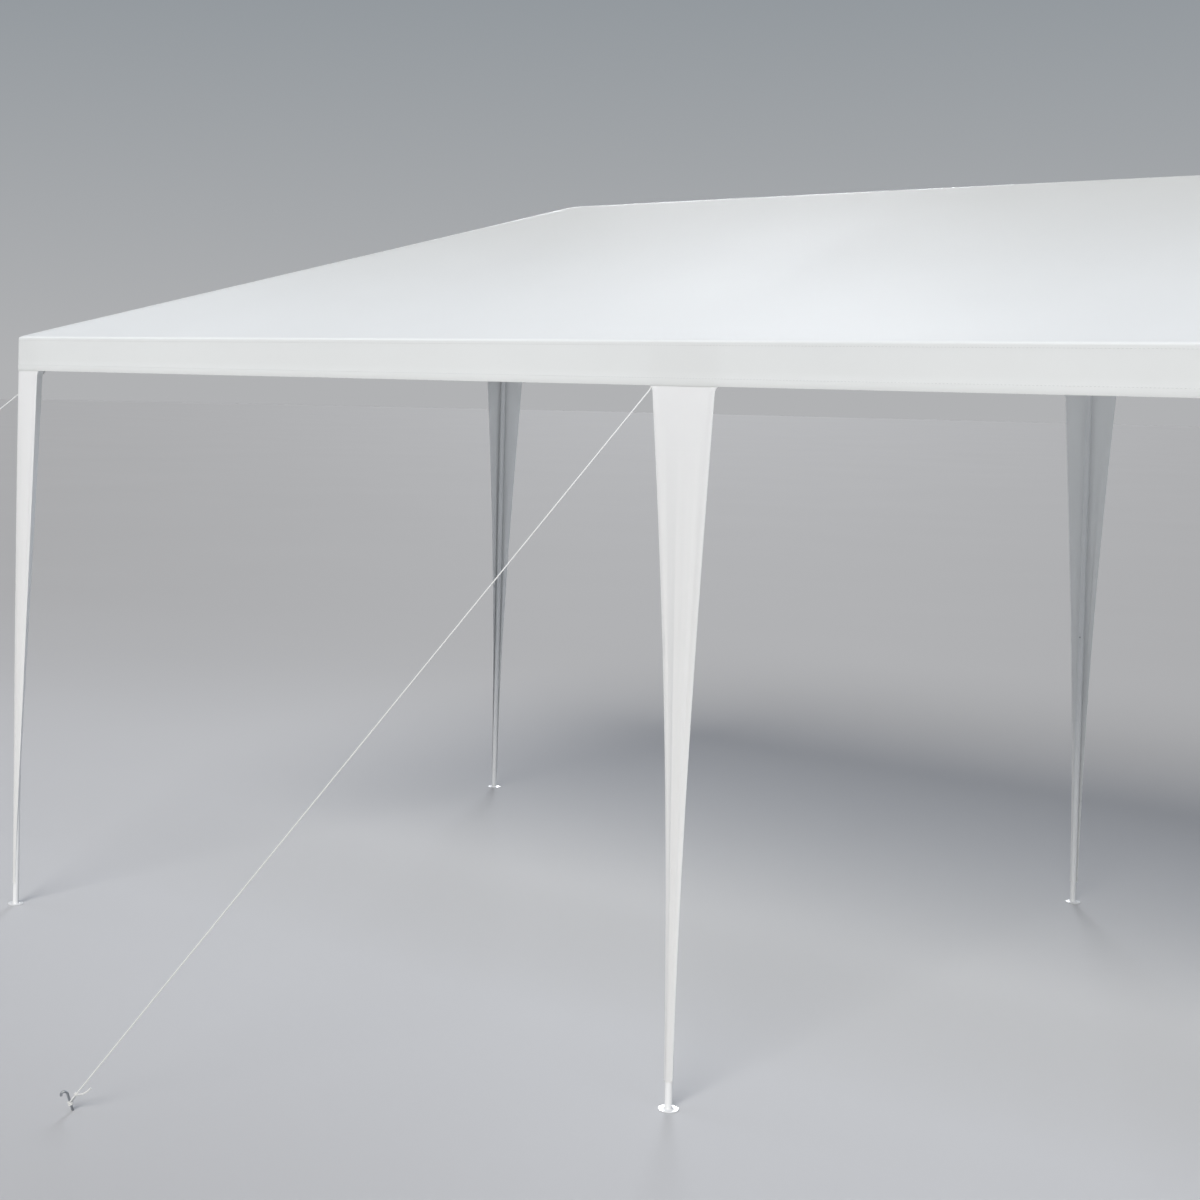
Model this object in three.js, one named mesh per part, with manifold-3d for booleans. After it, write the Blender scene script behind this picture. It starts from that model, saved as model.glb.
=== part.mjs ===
// Canopy tent: a hip-roofed party tent on six legs, two bays long and one bay deep.
// Millimetres, +Z up. The origin is under the foot of the front left leg: +X runs along the
// length, +Y runs from the front to the rear.
import * as THREE from 'three';
import { mergeVertices } from 'three/addons/utils/BufferGeometryUtils.js';
import Module from 'manifold-3d';

const wasm = await Module();
wasm.setup();

// Driving dimensions
const BAY = 2920;              // leg to leg along the length
const BAYS = 2;
const DEPTH = 2920;            // leg to leg, front to rear
const EAVE_HEIGHT = 2140;      // outer edge of the roof cloth
const HEM_HEIGHT = 2014;       // lower edge of the valance
const RIDGE_HEIGHT = 2690;     // top of the roof cloth
const TUBE_RADIUS = 11;
const TUBE_WALL = 1;
const SLEEVE_RADIUS = 14.5;    // sockets of the connectors
const SLEEVE_LENGTH = 85;
const TUBE_START = 34;         // from the centre of a connector to the end of a tube
const FIT = 0.3;               // clearance between pieces that touch
const ROOF_CLOTH = 2.5;
const SKIRT_CLOTH = 2;
const LEG_JOINT_HEIGHT = 1020; // where the lower leg plugs into the upper one
const SPIGOT_LENGTH = 60;
const FOOT_RADIUS = 29;
const FOOT_THICKNESS = 2.5;
const MID_SKIRT_WIDTH = 204;
const MID_SKIRT_END_WIDTH = 27;
const CORNER_SKIRT_WIDTH = 118;
const SKIRT_END_HEIGHT = 80;
const MID_SKIRT_TAPER = 1.7;   // power of the taper: 1 is a straight edge
const CORNER_SKIRT_TAPER = 1.35;
const ROPE_RADIUS = 1.6;
const STAKE_RADIUS = 3.5;
const STAKE_TILT = 18 * Math.PI / 180;
const CORNER_STAKE = [-1700, -1500];
const MID_STAKE = [1733, -1136];
const ROUND_SIDES = 12;
const SKIRT_STEPS = 10;

// Worked out from them
const LENGTH = BAY * BAYS;
const HALF_DEPTH = DEPTH / 2;
const SKIRT_INSIDE = SLEEVE_RADIUS + FIT;
const SKIRT_OUTSIDE = SKIRT_INSIDE + SKIRT_CLOTH;
const VALANCE_INSIDE = SKIRT_OUTSIDE + FIT;
const OVERHANG = VALANCE_INSIDE + ROOF_CLOTH;
const SLOPE = (RIDGE_HEIGHT - EAVE_HEIGHT) / (HALF_DEPTH + OVERHANG);
const COS_SLOPE = 1 / Math.hypot(1, SLOPE);
const CLOTH_DROP = ROOF_CLOTH / COS_SLOPE;
const AXIS_DROP = (SLEEVE_RADIUS + FIT + ROOF_CLOTH) / COS_SLOPE;
const EAVE_AXIS = roofTop(0) - AXIS_DROP;
const RIDGE_AXIS = roofTop(HALF_DEPTH) - AXIS_DROP;

// Finishes
const WHITE_STEEL = { color: 0xe6e8ea, roughness: 0.42, metalness: 0.1 };
const ROOF_FABRIC = { color: 0xe8eaee, roughness: 0.62, metalness: 0 };
const SKIRT_FABRIC = { color: 0xe2e4e4, roughness: 0.7, metalness: 0 };
const ROPE_FIBRE = { color: 0xe4e2d4, roughness: 0.85, metalness: 0 };
const ZINC_STEEL = { color: 0x9a9ea2, roughness: 0.4, metalness: 0.9 };

const DOWN = new THREE.Vector3(0, 0, -1);
const ALONG = new THREE.Vector3(1, 0, 0);

const tent = new THREE.Group();

// Height of the roof cloth's upper side at a distance inside the line of the legs
function roofTop(inside) {
  return EAVE_HEIGHT + SLOPE * (inside + OVERHANG);
}

function addPiece(name, geometry, finish) {
  const mesh = new THREE.Mesh(geometry, new THREE.MeshStandardMaterial(finish));
  mesh.name = name;
  tent.add(mesh);
  return mesh;
}

// The direction from one point to another
function towards(from, to) {
  return to.clone().sub(from).normalize();
}

// Booleans on closed meshes

function toSolid(geometry, matrix = new THREE.Matrix4()) {
  const plain = geometry.clone().applyMatrix4(matrix);
  plain.deleteAttribute('normal');
  plain.deleteAttribute('uv');
  const merged = mergeVertices(plain, 1e-4);
  return new wasm.Manifold(new wasm.Mesh({
    numProp: 3,
    vertProperties: new Float32Array(merged.attributes.position.array),
    triVerts: new Uint32Array(merged.index.array),
  }));
}

function fromSolid(solid) {
  const { vertProperties, triVerts } = solid.getMesh();
  const geometry = new THREE.BufferGeometry();
  geometry.setAttribute('position', new THREE.BufferAttribute(new Float32Array(vertProperties), 3));
  geometry.setIndex(new THREE.BufferAttribute(new Uint32Array(triVerts), 1));
  geometry.computeVertexNormals();
  return geometry;
}

function unite(solids) {
  return solids.reduce((sum, solid) => sum.add(solid));
}

// A matrix that turns +Y to a direction and moves the start to a point
function alongMatrix(start, direction) {
  const turn = new THREE.Quaternion().setFromUnitVectors(new THREE.Vector3(0, 1, 0), direction);
  return new THREE.Matrix4().compose(start, turn, new THREE.Vector3(1, 1, 1));
}

// A solid rod from one point to another
function rod(start, end, radius, sides) {
  const span = end.clone().sub(start);
  const geometry = new THREE.CylinderGeometry(radius, radius, span.length(), sides);
  geometry.translate(0, span.length() / 2, 0);
  return toSolid(geometry, alongMatrix(start, span.normalize()));
}

function ball(centre, radius, sides) {
  const geometry = new THREE.SphereGeometry(radius, sides, sides / 2);
  return toSolid(geometry, new THREE.Matrix4().makeTranslation(centre.x, centre.y, centre.z));
}

// Frame tubes

function tubeGeometry(length) {
  const inner = TUBE_RADIUS - TUBE_WALL;
  const profile = [[inner, 0], [TUBE_RADIUS, 0], [TUBE_RADIUS, length], [inner, length], [inner, 0]];
  return new THREE.LatheGeometry(profile.map(([r, y]) => new THREE.Vector2(r, y)), ROUND_SIDES);
}

// A tube that plugs into the connectors at two nodes of the frame
function addTube(name, from, to) {
  const direction = towards(from, to);
  const start = from.clone().addScaledVector(direction, TUBE_START);
  const length = from.distanceTo(to) - 2 * TUBE_START;
  const mesh = addPiece(name, tubeGeometry(length), WHITE_STEEL);
  mesh.position.copy(start);
  mesh.quaternion.setFromUnitVectors(new THREE.Vector3(0, 1, 0), direction);
}

function addUpperLeg(name, x, y) {
  const length = EAVE_AXIS - TUBE_START - LEG_JOINT_HEIGHT;
  const mesh = addPiece(name, tubeGeometry(length), WHITE_STEEL);
  mesh.position.set(x, y, LEG_JOINT_HEIGHT);
  mesh.rotation.x = Math.PI / 2;
}

// The lower leg has a welded foot plate below and a swaged end that enters the upper leg
function addLowerLeg(name, x, y) {
  const inner = TUBE_RADIUS - TUBE_WALL;
  const spigot = inner - FIT;
  const bore = spigot - TUBE_WALL;
  const shoulder = LEG_JOINT_HEIGHT - FIT;
  const tip = LEG_JOINT_HEIGHT + SPIGOT_LENGTH;
  const floor = FOOT_THICKNESS + TUBE_WALL;
  const profile = [
    [0, 0], [FOOT_RADIUS, 0], [FOOT_RADIUS, FOOT_THICKNESS], [TUBE_RADIUS, FOOT_THICKNESS],
    [TUBE_RADIUS, shoulder], [spigot, shoulder], [spigot, tip], [bore, tip],
    [bore, shoulder - TUBE_RADIUS], [inner, shoulder - 2 * TUBE_RADIUS], [inner, floor], [0, floor],
  ];
  const points = profile.map(([r, y]) => new THREE.Vector2(r, y));
  const mesh = addPiece(name, new THREE.LatheGeometry(points, ROUND_SIDES), WHITE_STEEL);
  mesh.position.set(x, y, 0);
  mesh.rotation.x = Math.PI / 2;
}

// A welded connector: one socket for each tube, meeting in a solid middle
function addConnector(name, centre, directions) {
  const origin = new THREE.Vector3();
  const boreRadius = (TUBE_RADIUS + FIT) / Math.cos(Math.PI / ROUND_SIDES);
  const sleeves = directions.map((d) =>
    rod(origin, d.clone().multiplyScalar(SLEEVE_LENGTH), SLEEVE_RADIUS, ROUND_SIDES));
  const bores = directions.map((d) => rod(
    d.clone().multiplyScalar(TUBE_START - FIT), d.clone().multiplyScalar(SLEEVE_LENGTH + 1),
    boreRadius, ROUND_SIDES));
  const body = unite([ball(origin, SLEEVE_RADIUS, ROUND_SIDES), ...sleeves]);
  const mesh = addPiece(name, fromSolid(body.subtract(unite(bores))), WHITE_STEEL);
  mesh.position.copy(centre);
}

// Cloth panels

// Stacks outlines of equal length into one closed body: each level is { z, outline }
function stack(levels) {
  const count = levels[0].outline.length;
  const positions = [];
  const index = [];
  for (const { outline } of levels) {
    for (const [x, y, z] of outline) positions.push(x, y, z);
  }
  for (let level = 0; level < levels.length - 1; level++) {
    for (let i = 0; i < count; i++) {
      const a = level * count + i;
      const b = level * count + (i + 1) % count;
      index.push(a, b, b + count, a, b + count, a + count);
    }
  }
  const flat = levels[0].outline.map(([x, y]) => new THREE.Vector2(x, y));
  const top = (levels.length - 1) * count;
  for (const [a, b, c] of THREE.ShapeUtils.triangulateShape(flat, [])) {
    index.push(c, b, a, top + a, top + b, top + c);
  }
  const geometry = new THREE.BufferGeometry();
  geometry.setAttribute('position', new THREE.Float32BufferAttribute(positions, 3));
  geometry.setIndex(index);
  return geometry;
}

// An outline that runs anticlockwise seen from above
function anticlockwise(outline) {
  const flat = outline.map(([x, y]) => new THREE.Vector2(x, y));
  return THREE.ShapeUtils.isClockWise(flat) ? outline.slice().reverse() : outline;
}

// One slope of the roof: a plan outline lifted onto its sloping plane
function addRoofPanel(name, plan, insideAt) {
  const outline = anticlockwise(plan);
  const top = outline.map(([x, y]) => [x, y, roofTop(insideAt(x, y))]);
  const bottom = top.map(([x, y, z]) => [x, y, z - CLOTH_DROP]);
  addPiece(name, stack([{ outline: bottom }, { outline: top }]), ROOF_FABRIC);
}

function addRoof() {
  const seam = FIT / 2;
  const skew = seam * Math.SQRT2;
  const out = -OVERHANG;
  const ridgeStart = HALF_DEPTH - seam + skew;
  const front = [
    [out + skew, out], [LENGTH - out - skew, out],
    [LENGTH - ridgeStart, HALF_DEPTH - seam], [ridgeStart, HALF_DEPTH - seam],
  ];
  const left = [[out, out + skew], [HALF_DEPTH - skew, HALF_DEPTH], [out, DEPTH - out - skew]];
  const rear = front.map(([x, y]) => [x, DEPTH - y]);
  const right = left.map(([x, y]) => [LENGTH - x, y]);
  addRoofPanel('roof_front', front, (x, y) => y);
  addRoofPanel('roof_rear', rear, (x, y) => DEPTH - y);
  addRoofPanel('roof_left', left, (x) => x);
  addRoofPanel('roof_right', right, (x) => LENGTH - x);
}

function addValance(name, low, high) {
  const top = EAVE_HEIGHT - CLOTH_DROP - FIT;
  const geometry = new THREE.BoxGeometry(high.x - low.x, high.y - low.y, top - HEM_HEIGHT);
  const mesh = addPiece(name, geometry, ROOF_FABRIC);
  mesh.position.set((low.x + high.x) / 2, (low.y + high.y) / 2, (top + HEM_HEIGHT) / 2);
}

function addValances() {
  const out = OVERHANG;
  const inside = VALANCE_INSIDE;
  const corner = (x, y) => new THREE.Vector2(x, y);
  addValance('valance_front', corner(-out, -out), corner(LENGTH + out, -inside));
  addValance('valance_rear', corner(-out, DEPTH + inside), corner(LENGTH + out, DEPTH + out));
  addValance('valance_left', corner(-out, FIT - inside), corner(-inside, DEPTH + inside - FIT));
  addValance('valance_right', corner(LENGTH + inside, FIT - inside),
    corner(LENGTH + out, DEPTH + inside - FIT));
}

// Width of a leg's skirt at a height: full width down to the hem, then drawn in to the tube
function skirtWidth(fullWidth, endWidth, taper, z) {
  if (z >= HEM_HEIGHT) return fullWidth;
  const share = (z - SKIRT_END_HEIGHT) / (HEM_HEIGHT - SKIRT_END_HEIGHT);
  return endWidth + (fullWidth - endWidth) * share ** taper;
}

function skirtLevels(outlineAt) {
  const heights = [];
  for (let i = 0; i <= SKIRT_STEPS; i++) {
    heights.push(SKIRT_END_HEIGHT + (HEM_HEIGHT - SKIRT_END_HEIGHT) * i / SKIRT_STEPS);
  }
  heights.push(roofTop(-SKIRT_OUTSIDE) - CLOTH_DROP - FIT);
  return heights.map((z) => ({ outline: anticlockwise(outlineAt(z)).map(([x, y]) => [x, y, z]) }));
}

// A flat tapering skirt on the outer side of a middle leg; side is -1 in front, 1 at the rear
function addMidSkirt(name, x, y, side) {
  const levels = skirtLevels((z) => {
    const half = skirtWidth(MID_SKIRT_WIDTH, MID_SKIRT_END_WIDTH, MID_SKIRT_TAPER, z) / 2;
    return [
      [-half, side * SKIRT_INSIDE], [half, side * SKIRT_INSIDE],
      [half, side * SKIRT_OUTSIDE], [-half, side * SKIRT_OUTSIDE],
    ];
  });
  addPiece(name, stack(levels), SKIRT_FABRIC).position.set(x, y, 0);
}

// A skirt folded round the outside of a corner leg, with one flap on each side
function addCornerSkirt(name, x, y, sideX, sideY) {
  const levels = skirtLevels((z) => {
    const width = skirtWidth(CORNER_SKIRT_WIDTH, SKIRT_OUTSIDE + TUBE_RADIUS, CORNER_SKIRT_TAPER, z);
    const reach = width - SKIRT_OUTSIDE;
    const outline = [
      [SKIRT_OUTSIDE, SKIRT_OUTSIDE], [-reach, SKIRT_OUTSIDE], [-reach, SKIRT_INSIDE],
      [SKIRT_INSIDE, SKIRT_INSIDE], [SKIRT_INSIDE, -reach], [SKIRT_OUTSIDE, -reach],
    ];
    return outline.map(([a, b]) => [a * sideX, b * sideY]);
  });
  addPiece(name, stack(levels), SKIRT_FABRIC).position.set(x, y, 0);
}

// Guy ropes and their stakes

const ROPE_HITCH = TUBE_RADIUS + FIT + ROPE_RADIUS;
const STAKE_HITCH = STAKE_RADIUS + FIT + ROPE_RADIUS;
const HITCH_TURNS = 1.25;
const STAKE_EYE = 26;          // along the stake, up to the rope's first turn
const STAKE_SHAFT = 48;
const STAKE_HOOK = 9;
const ROPE_SIDES = 8;
const STAKE_SIDES = 10;
const HOOK_STEPS = 6;
const BEND_STEPS = 4;
const STEPS_PER_HITCH = 22;
const STEPS_PER_LASHING = 15;

function stakeAxis(outward) {
  return new THREE.Vector3(0, 0, Math.cos(STAKE_TILT)).addScaledVector(outward, Math.sin(STAKE_TILT));
}

// A round bar through a list of points, closed at both ends
function sweep(points, radius, sides) {
  const count = points.length;
  const normal = new THREE.Vector3();
  const positions = [];
  const index = [];
  points.forEach((point, i) => {
    const before = points[Math.max(i - 1, 0)];
    const after = points[Math.min(i + 1, count - 1)];
    const tangent = after.clone().sub(before).normalize();
    if (i === 0) normal.set(tangent.z, tangent.x, tangent.y);
    normal.addScaledVector(tangent, -normal.dot(tangent)).normalize();
    const binormal = tangent.clone().cross(normal);
    for (let j = 0; j < sides; j++) {
      const turn = 2 * Math.PI * j / sides;
      const rim = point.clone().addScaledVector(normal, radius * Math.cos(turn));
      positions.push(...rim.addScaledVector(binormal, radius * Math.sin(turn)));
    }
  });
  for (let i = 0; i < count - 1; i++) {
    for (let j = 0; j < sides; j++) {
      const a = i * sides + j;
      const b = i * sides + (j + 1) % sides;
      index.push(a, b, b + sides, a, b + sides, a + sides);
    }
  }
  const last = (count - 1) * sides;
  for (let j = 1; j < sides - 1; j++) {
    index.push(0, j + 1, j, last, last + j, last + j + 1);
  }
  const geometry = new THREE.BufferGeometry();
  geometry.setAttribute('position', new THREE.Float32BufferAttribute(positions, 3));
  geometry.setIndex(index);
  return geometry;
}

// Points round the bend where a straight run changes direction
function roundedBend(before, corner, after, reach) {
  const start = towards(corner, before).multiplyScalar(reach).add(corner);
  const end = towards(corner, after).multiplyScalar(reach).add(corner);
  return new THREE.QuadraticBezierCurve3(start, corner, end).getPoints(BEND_STEPS);
}

// Points of a coil: it starts at the side given by first, turns towards second and drifts by pitch
function coil(centre, axis, first, second, radius, fromTurn, toTurn, steps) {
  const pitch = 2 * ROPE_RADIUS + FIT;
  const points = [];
  for (let i = 0; i <= steps; i++) {
    const turns = fromTurn + (toTurn - fromTurn) * i / steps;
    const point = centre.clone().addScaledVector(first, radius * Math.cos(2 * Math.PI * turns));
    point.addScaledVector(second, radius * Math.sin(2 * Math.PI * turns));
    points.push(point.addScaledVector(axis, pitch * turns));
  }
  return points;
}

// A rope wound round an eave beam, led down behind the valance, under its hem and on to a stake.
// beamPoint is on the beam's axis, drift runs along the beam, side points out of the tent.
function addRope(name, beamPoint, drift, side, ground) {
  const hitch = coil(beamPoint, drift, side, DOWN, ROPE_HITCH, -HITCH_TURNS, 0, STEPS_PER_HITCH);
  const top = hitch[hitch.length - 1];
  const bend = top.clone().setZ(HEM_HEIGHT - 3 * ROPE_RADIUS);
  const outward = ground.clone().sub(bend).setZ(0).normalize();
  const axis = stakeAxis(outward);
  const eye = ground.clone().addScaledVector(axis, STAKE_EYE);
  const away = outward.clone().addScaledVector(axis, -outward.dot(axis)).normalize();
  const across = axis.clone().cross(away);
  const lashing = coil(eye, axis.clone().negate(), across, away, STAKE_HITCH, 0, HITCH_TURNS,
    STEPS_PER_LASHING);
  const middle = roundedBend(top, bend, lashing[0], 4 * ROPE_RADIUS);
  addPiece(name, sweep([...hitch, ...middle, ...lashing], ROPE_RADIUS, ROPE_SIDES), ROPE_FIBRE);
  return outward;
}

// A round steel peg with a hooked head, leaning away from the tent and trimmed at the ground
function addStake(name, ground, outward) {
  const axis = stakeAxis(outward);
  const across = outward.clone().addScaledVector(axis, -outward.dot(axis)).normalize();
  const at = (up, out) => axis.clone().multiplyScalar(up).addScaledVector(across, out);
  const route = [at(-2 * STAKE_HOOK, 0)];
  for (let i = 0; i <= HOOK_STEPS; i++) {
    const turn = Math.PI * i / HOOK_STEPS;
    const out = STAKE_HOOK * (1 - Math.cos(turn));
    route.push(at(STAKE_SHAFT + STAKE_HOOK * Math.sin(turn), out));
  }
  const size = 4 * STAKE_SHAFT;
  const above = new THREE.BoxGeometry(size, size, size);
  const trim = toSolid(above, new THREE.Matrix4().makeTranslation(0, 0, size / 2));
  const peg = toSolid(sweep(route, STAKE_RADIUS, STAKE_SIDES));
  addPiece(name, fromSolid(peg.intersect(trim)), ZINC_STEEL).position.copy(ground);
}

// Frame nodes

const column = (x, y) => new THREE.Vector3(x, y, EAVE_AXIS);
const LEGS = [
  { place: 'front_left', x: 0, y: 0, sideX: -1, sideY: -1 },
  { place: 'front_mid', x: BAY, y: 0, sideX: 0, sideY: -1 },
  { place: 'front_right', x: LENGTH, y: 0, sideX: 1, sideY: -1 },
  { place: 'rear_left', x: 0, y: DEPTH, sideX: -1, sideY: 1 },
  { place: 'rear_mid', x: BAY, y: DEPTH, sideX: 0, sideY: 1 },
  { place: 'rear_right', x: LENGTH, y: DEPTH, sideX: 1, sideY: 1 },
];
const hipLeft = new THREE.Vector3(HALF_DEPTH, HALF_DEPTH, RIDGE_AXIS);
const hipRight = new THREE.Vector3(LENGTH - HALF_DEPTH, HALF_DEPTH, RIDGE_AXIS);
const ridgeMiddle = new THREE.Vector3(LENGTH / 2, HALF_DEPTH, RIDGE_AXIS);

function addLegs() {
  for (const { place, x, y, sideX, sideY } of LEGS) {
    addLowerLeg(`lower_leg_${place}`, x, y);
    addUpperLeg(`upper_leg_${place}`, x, y);
    const node = column(x, y);
    const across = new THREE.Vector3(0, -sideY, 0);
    if (sideX === 0) {
      const directions = [DOWN, ALONG, ALONG.clone().negate(), towards(node, ridgeMiddle)];
      addConnector(`side_connector_${place}`, node, directions);
      addTube(`rafter_${place}`, node, ridgeMiddle);
      addMidSkirt(`leg_skirt_${place}`, x, y, sideY);
    } else {
      const hip = sideX < 0 ? hipLeft : hipRight;
      const inward = new THREE.Vector3(-sideX, 0, 0);
      addConnector(`corner_connector_${place}`, node, [DOWN, inward, across, towards(node, hip)]);
      addTube(`hip_rafter_${place}`, node, hip);
      addCornerSkirt(`leg_skirt_${place}`, x, y, sideX, sideY);
    }
  }
}

function addBeams() {
  addTube('eave_beam_front_left', column(0, 0), column(BAY, 0));
  addTube('eave_beam_front_right', column(BAY, 0), column(LENGTH, 0));
  addTube('eave_beam_rear_left', column(0, DEPTH), column(BAY, DEPTH));
  addTube('eave_beam_rear_right', column(BAY, DEPTH), column(LENGTH, DEPTH));
  addTube('eave_beam_left', column(0, 0), column(0, DEPTH));
  addTube('eave_beam_right', column(LENGTH, 0), column(LENGTH, DEPTH));
}

function addRidge() {
  const corners = (x) => [column(x, 0), column(x, DEPTH)];
  for (const [name, node, x] of [['left', hipLeft, 0], ['right', hipRight, LENGTH]]) {
    const hips = corners(x).map((corner) => towards(node, corner));
    addConnector(`ridge_connector_${name}`, node, [towards(node, ridgeMiddle), ...hips]);
    addTube(`ridge_tube_${name}`, node, ridgeMiddle);
  }
  const rafters = corners(BAY).map((corner) => towards(ridgeMiddle, corner));
  addConnector('ridge_connector_mid', ridgeMiddle, [ALONG, ALONG.clone().negate(), ...rafters]);
}

function addGuys() {
  const front = new THREE.Vector3(0, -1, 0);
  const endAxis = new THREE.Vector3(0, 1, 0);
  const clear = CORNER_SKIRT_WIDTH - SKIRT_OUTSIDE + 5 * ROPE_RADIUS;
  const midPoint = column(BAY - MID_SKIRT_WIDTH / 2 - 3 * ROPE_RADIUS, 0);
  const [cornerX, cornerY] = CORNER_STAKE;
  const guys = [
    ['front_left', column(0, clear), endAxis, ALONG.clone().negate(), CORNER_STAKE],
    ['front_mid', midPoint, ALONG, front, MID_STAKE],
    ['front_right', column(LENGTH, clear), endAxis, ALONG, [LENGTH - cornerX, cornerY]],
  ];
  for (const [place, beamPoint, beamAxis, side, [x, y]] of guys) {
    const ground = new THREE.Vector3(x, y, 0);
    const outward = addRope(`guy_rope_${place}`, beamPoint, beamAxis, side, ground);
    addStake(`stake_${place}`, ground, outward);
  }
}

addLegs();
addBeams();
addRidge();
addRoof();
addValances();
addGuys();

export default tent;
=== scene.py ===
# Canopy tent: a stretched white cover with its valance, tapering leg skirts, a white tube frame
# with welded sockets, guy ropes and stakes. Metres, in the frame's own axes.
import math

import bmesh
import bpy
import numpy as np
from mathutils import Matrix, Vector, noise


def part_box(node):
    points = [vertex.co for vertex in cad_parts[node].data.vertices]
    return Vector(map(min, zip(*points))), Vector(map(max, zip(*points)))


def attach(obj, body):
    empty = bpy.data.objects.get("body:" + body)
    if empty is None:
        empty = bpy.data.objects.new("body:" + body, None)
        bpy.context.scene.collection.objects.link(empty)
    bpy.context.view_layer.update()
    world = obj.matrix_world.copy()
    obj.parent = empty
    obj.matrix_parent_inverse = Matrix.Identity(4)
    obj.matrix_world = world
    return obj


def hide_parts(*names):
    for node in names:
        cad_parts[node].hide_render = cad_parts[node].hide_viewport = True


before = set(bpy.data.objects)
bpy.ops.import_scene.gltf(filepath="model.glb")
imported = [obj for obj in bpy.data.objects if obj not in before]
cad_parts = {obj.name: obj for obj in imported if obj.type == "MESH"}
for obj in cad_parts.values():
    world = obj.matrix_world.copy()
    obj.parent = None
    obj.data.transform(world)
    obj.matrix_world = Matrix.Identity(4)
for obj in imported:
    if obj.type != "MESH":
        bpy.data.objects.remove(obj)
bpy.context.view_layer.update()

MM = 0.001
UP = Vector((0, 0, 1))

# Places and sizes read from the frame

PLACES = ["front_left", "front_mid", "front_right", "rear_left", "rear_mid", "rear_right"]


def plan_centre(node):
    low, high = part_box(node)
    return Vector(((low.x + high.x) / 2, (low.y + high.y) / 2, 0))


LEG = {place: plan_centre("lower_leg_" + place) for place in PLACES}
LENGTH = LEG["front_right"].x
BAY = LEG["front_mid"].x
DEPTH = LEG["rear_left"].y

VALANCE_LOW, VALANCE_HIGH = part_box("valance_front")
OVERHANG = -VALANCE_LOW.y
CAD_CLOTH = VALANCE_HIGH.y - VALANCE_LOW.y
HEM = VALANCE_LOW.z
RIDGE_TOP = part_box("roof_front")[1].z
SPAN_X = LENGTH + 2 * OVERHANG
SPAN_Y = DEPTH + 2 * OVERHANG
HALF_SPAN = SPAN_Y / 2


def roof_slope():
    """Slope of the roof and height of its outer edge, from the lowest and highest points of one side."""
    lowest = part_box("roof_front")[0].z
    slope = 0.0
    for _ in range(5):
        edge = lowest + CAD_CLOTH * math.hypot(1, slope)
        slope = (RIDGE_TOP - edge) / HALF_SPAN
    return slope, edge


SLOPE, EAVE = roof_slope()

BEAM_LOW, BEAM_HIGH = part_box("eave_beam_front_left")
TUBE_RADIUS = (BEAM_HIGH.z - BEAM_LOW.z) / 2
EAVE_AXIS = (BEAM_HIGH.z + BEAM_LOW.z) / 2
RIDGE_LOW, RIDGE_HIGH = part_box("ridge_tube_left")
RIDGE_AXIS = (RIDGE_HIGH.z + RIDGE_LOW.z) / 2
LEG_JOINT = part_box("upper_leg_front_left")[0].z
SKIRT_LOW, SKIRT_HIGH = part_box("leg_skirt_front_mid")
SKIRT_INSIDE = -SKIRT_HIGH.y
MID_SKIRT_HALF = (SKIRT_HIGH.x - SKIRT_LOW.x) / 2
CORNER_SKIRT_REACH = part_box("leg_skirt_front_left")[1].x
SLEEVE_RADIUS = SKIRT_INSIDE - 0.3 * MM
SLEEVE_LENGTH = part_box("side_connector_front_mid")[1].x - BAY

# Sizes of what is modelled here
CLOTH = 0.9 * MM               # visible thickness of the sewn cloth
ROUND = 32                     # sides of a tube
ROPE_RADIUS = 2.0 * MM
STAKE_RADIUS = 3.5 * MM
STAKE_TILT = math.radians(18)
STAKE_EYE = 26 * MM            # along the stake, up to the rope's first turn
MID_STAKE = Vector((1.733, -1.136, 0))
CORNER_STAKE = Vector((-1.7, -1.5, 0))


# Colours and nodes

def colour(code):
    """Linear RGBA of an sRGB hex colour."""
    values = []
    for start in (1, 3, 5):
        v = int(code[start:start + 2], 16) / 255
        values.append(v / 12.92 if v <= 0.04045 else ((v + 0.055) / 1.055) ** 2.4)
    return (*values, 1.0)


def add_node(tree, kind, inputs=None, **settings):
    """Adds one node. An input is a value, or another node's output to link it to."""
    node = tree.nodes.new(kind)
    for name, value in settings.items():
        setattr(node, name, value)
    for key, value in (inputs or {}).items():
        if isinstance(value, bpy.types.NodeSocket):
            tree.links.new(value, node.inputs[key])
        else:
            node.inputs[key].default_value = value
    return node


WAVE_PERIOD = math.tau / 20    # length of one band of the wave texture at scale 1
WEAVE = 5 * MM                 # the tapes are 2.4 mm apart, drawn coarser because that is under a pixel
BAG_FOLD = 0.46                # between the faint straight creases left by folding it for its bag
CREASE = 7 * MM                # half the width of a crease
CORD_STRANDS = 3 * MM          # along the cord, from one crossing of its strands to the next
CORD_SLANT = math.radians(40)
ORANGE_PEEL = 1.5 * MM         # length of the waves in baked powder coat
TAPE_RIBS = 1.5 * MM


def new_material(name):
    """A material with an empty tree."""
    material = bpy.data.materials.new(name)
    material.use_nodes = True
    material.node_tree.nodes.clear()
    return material, material.node_tree


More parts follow.
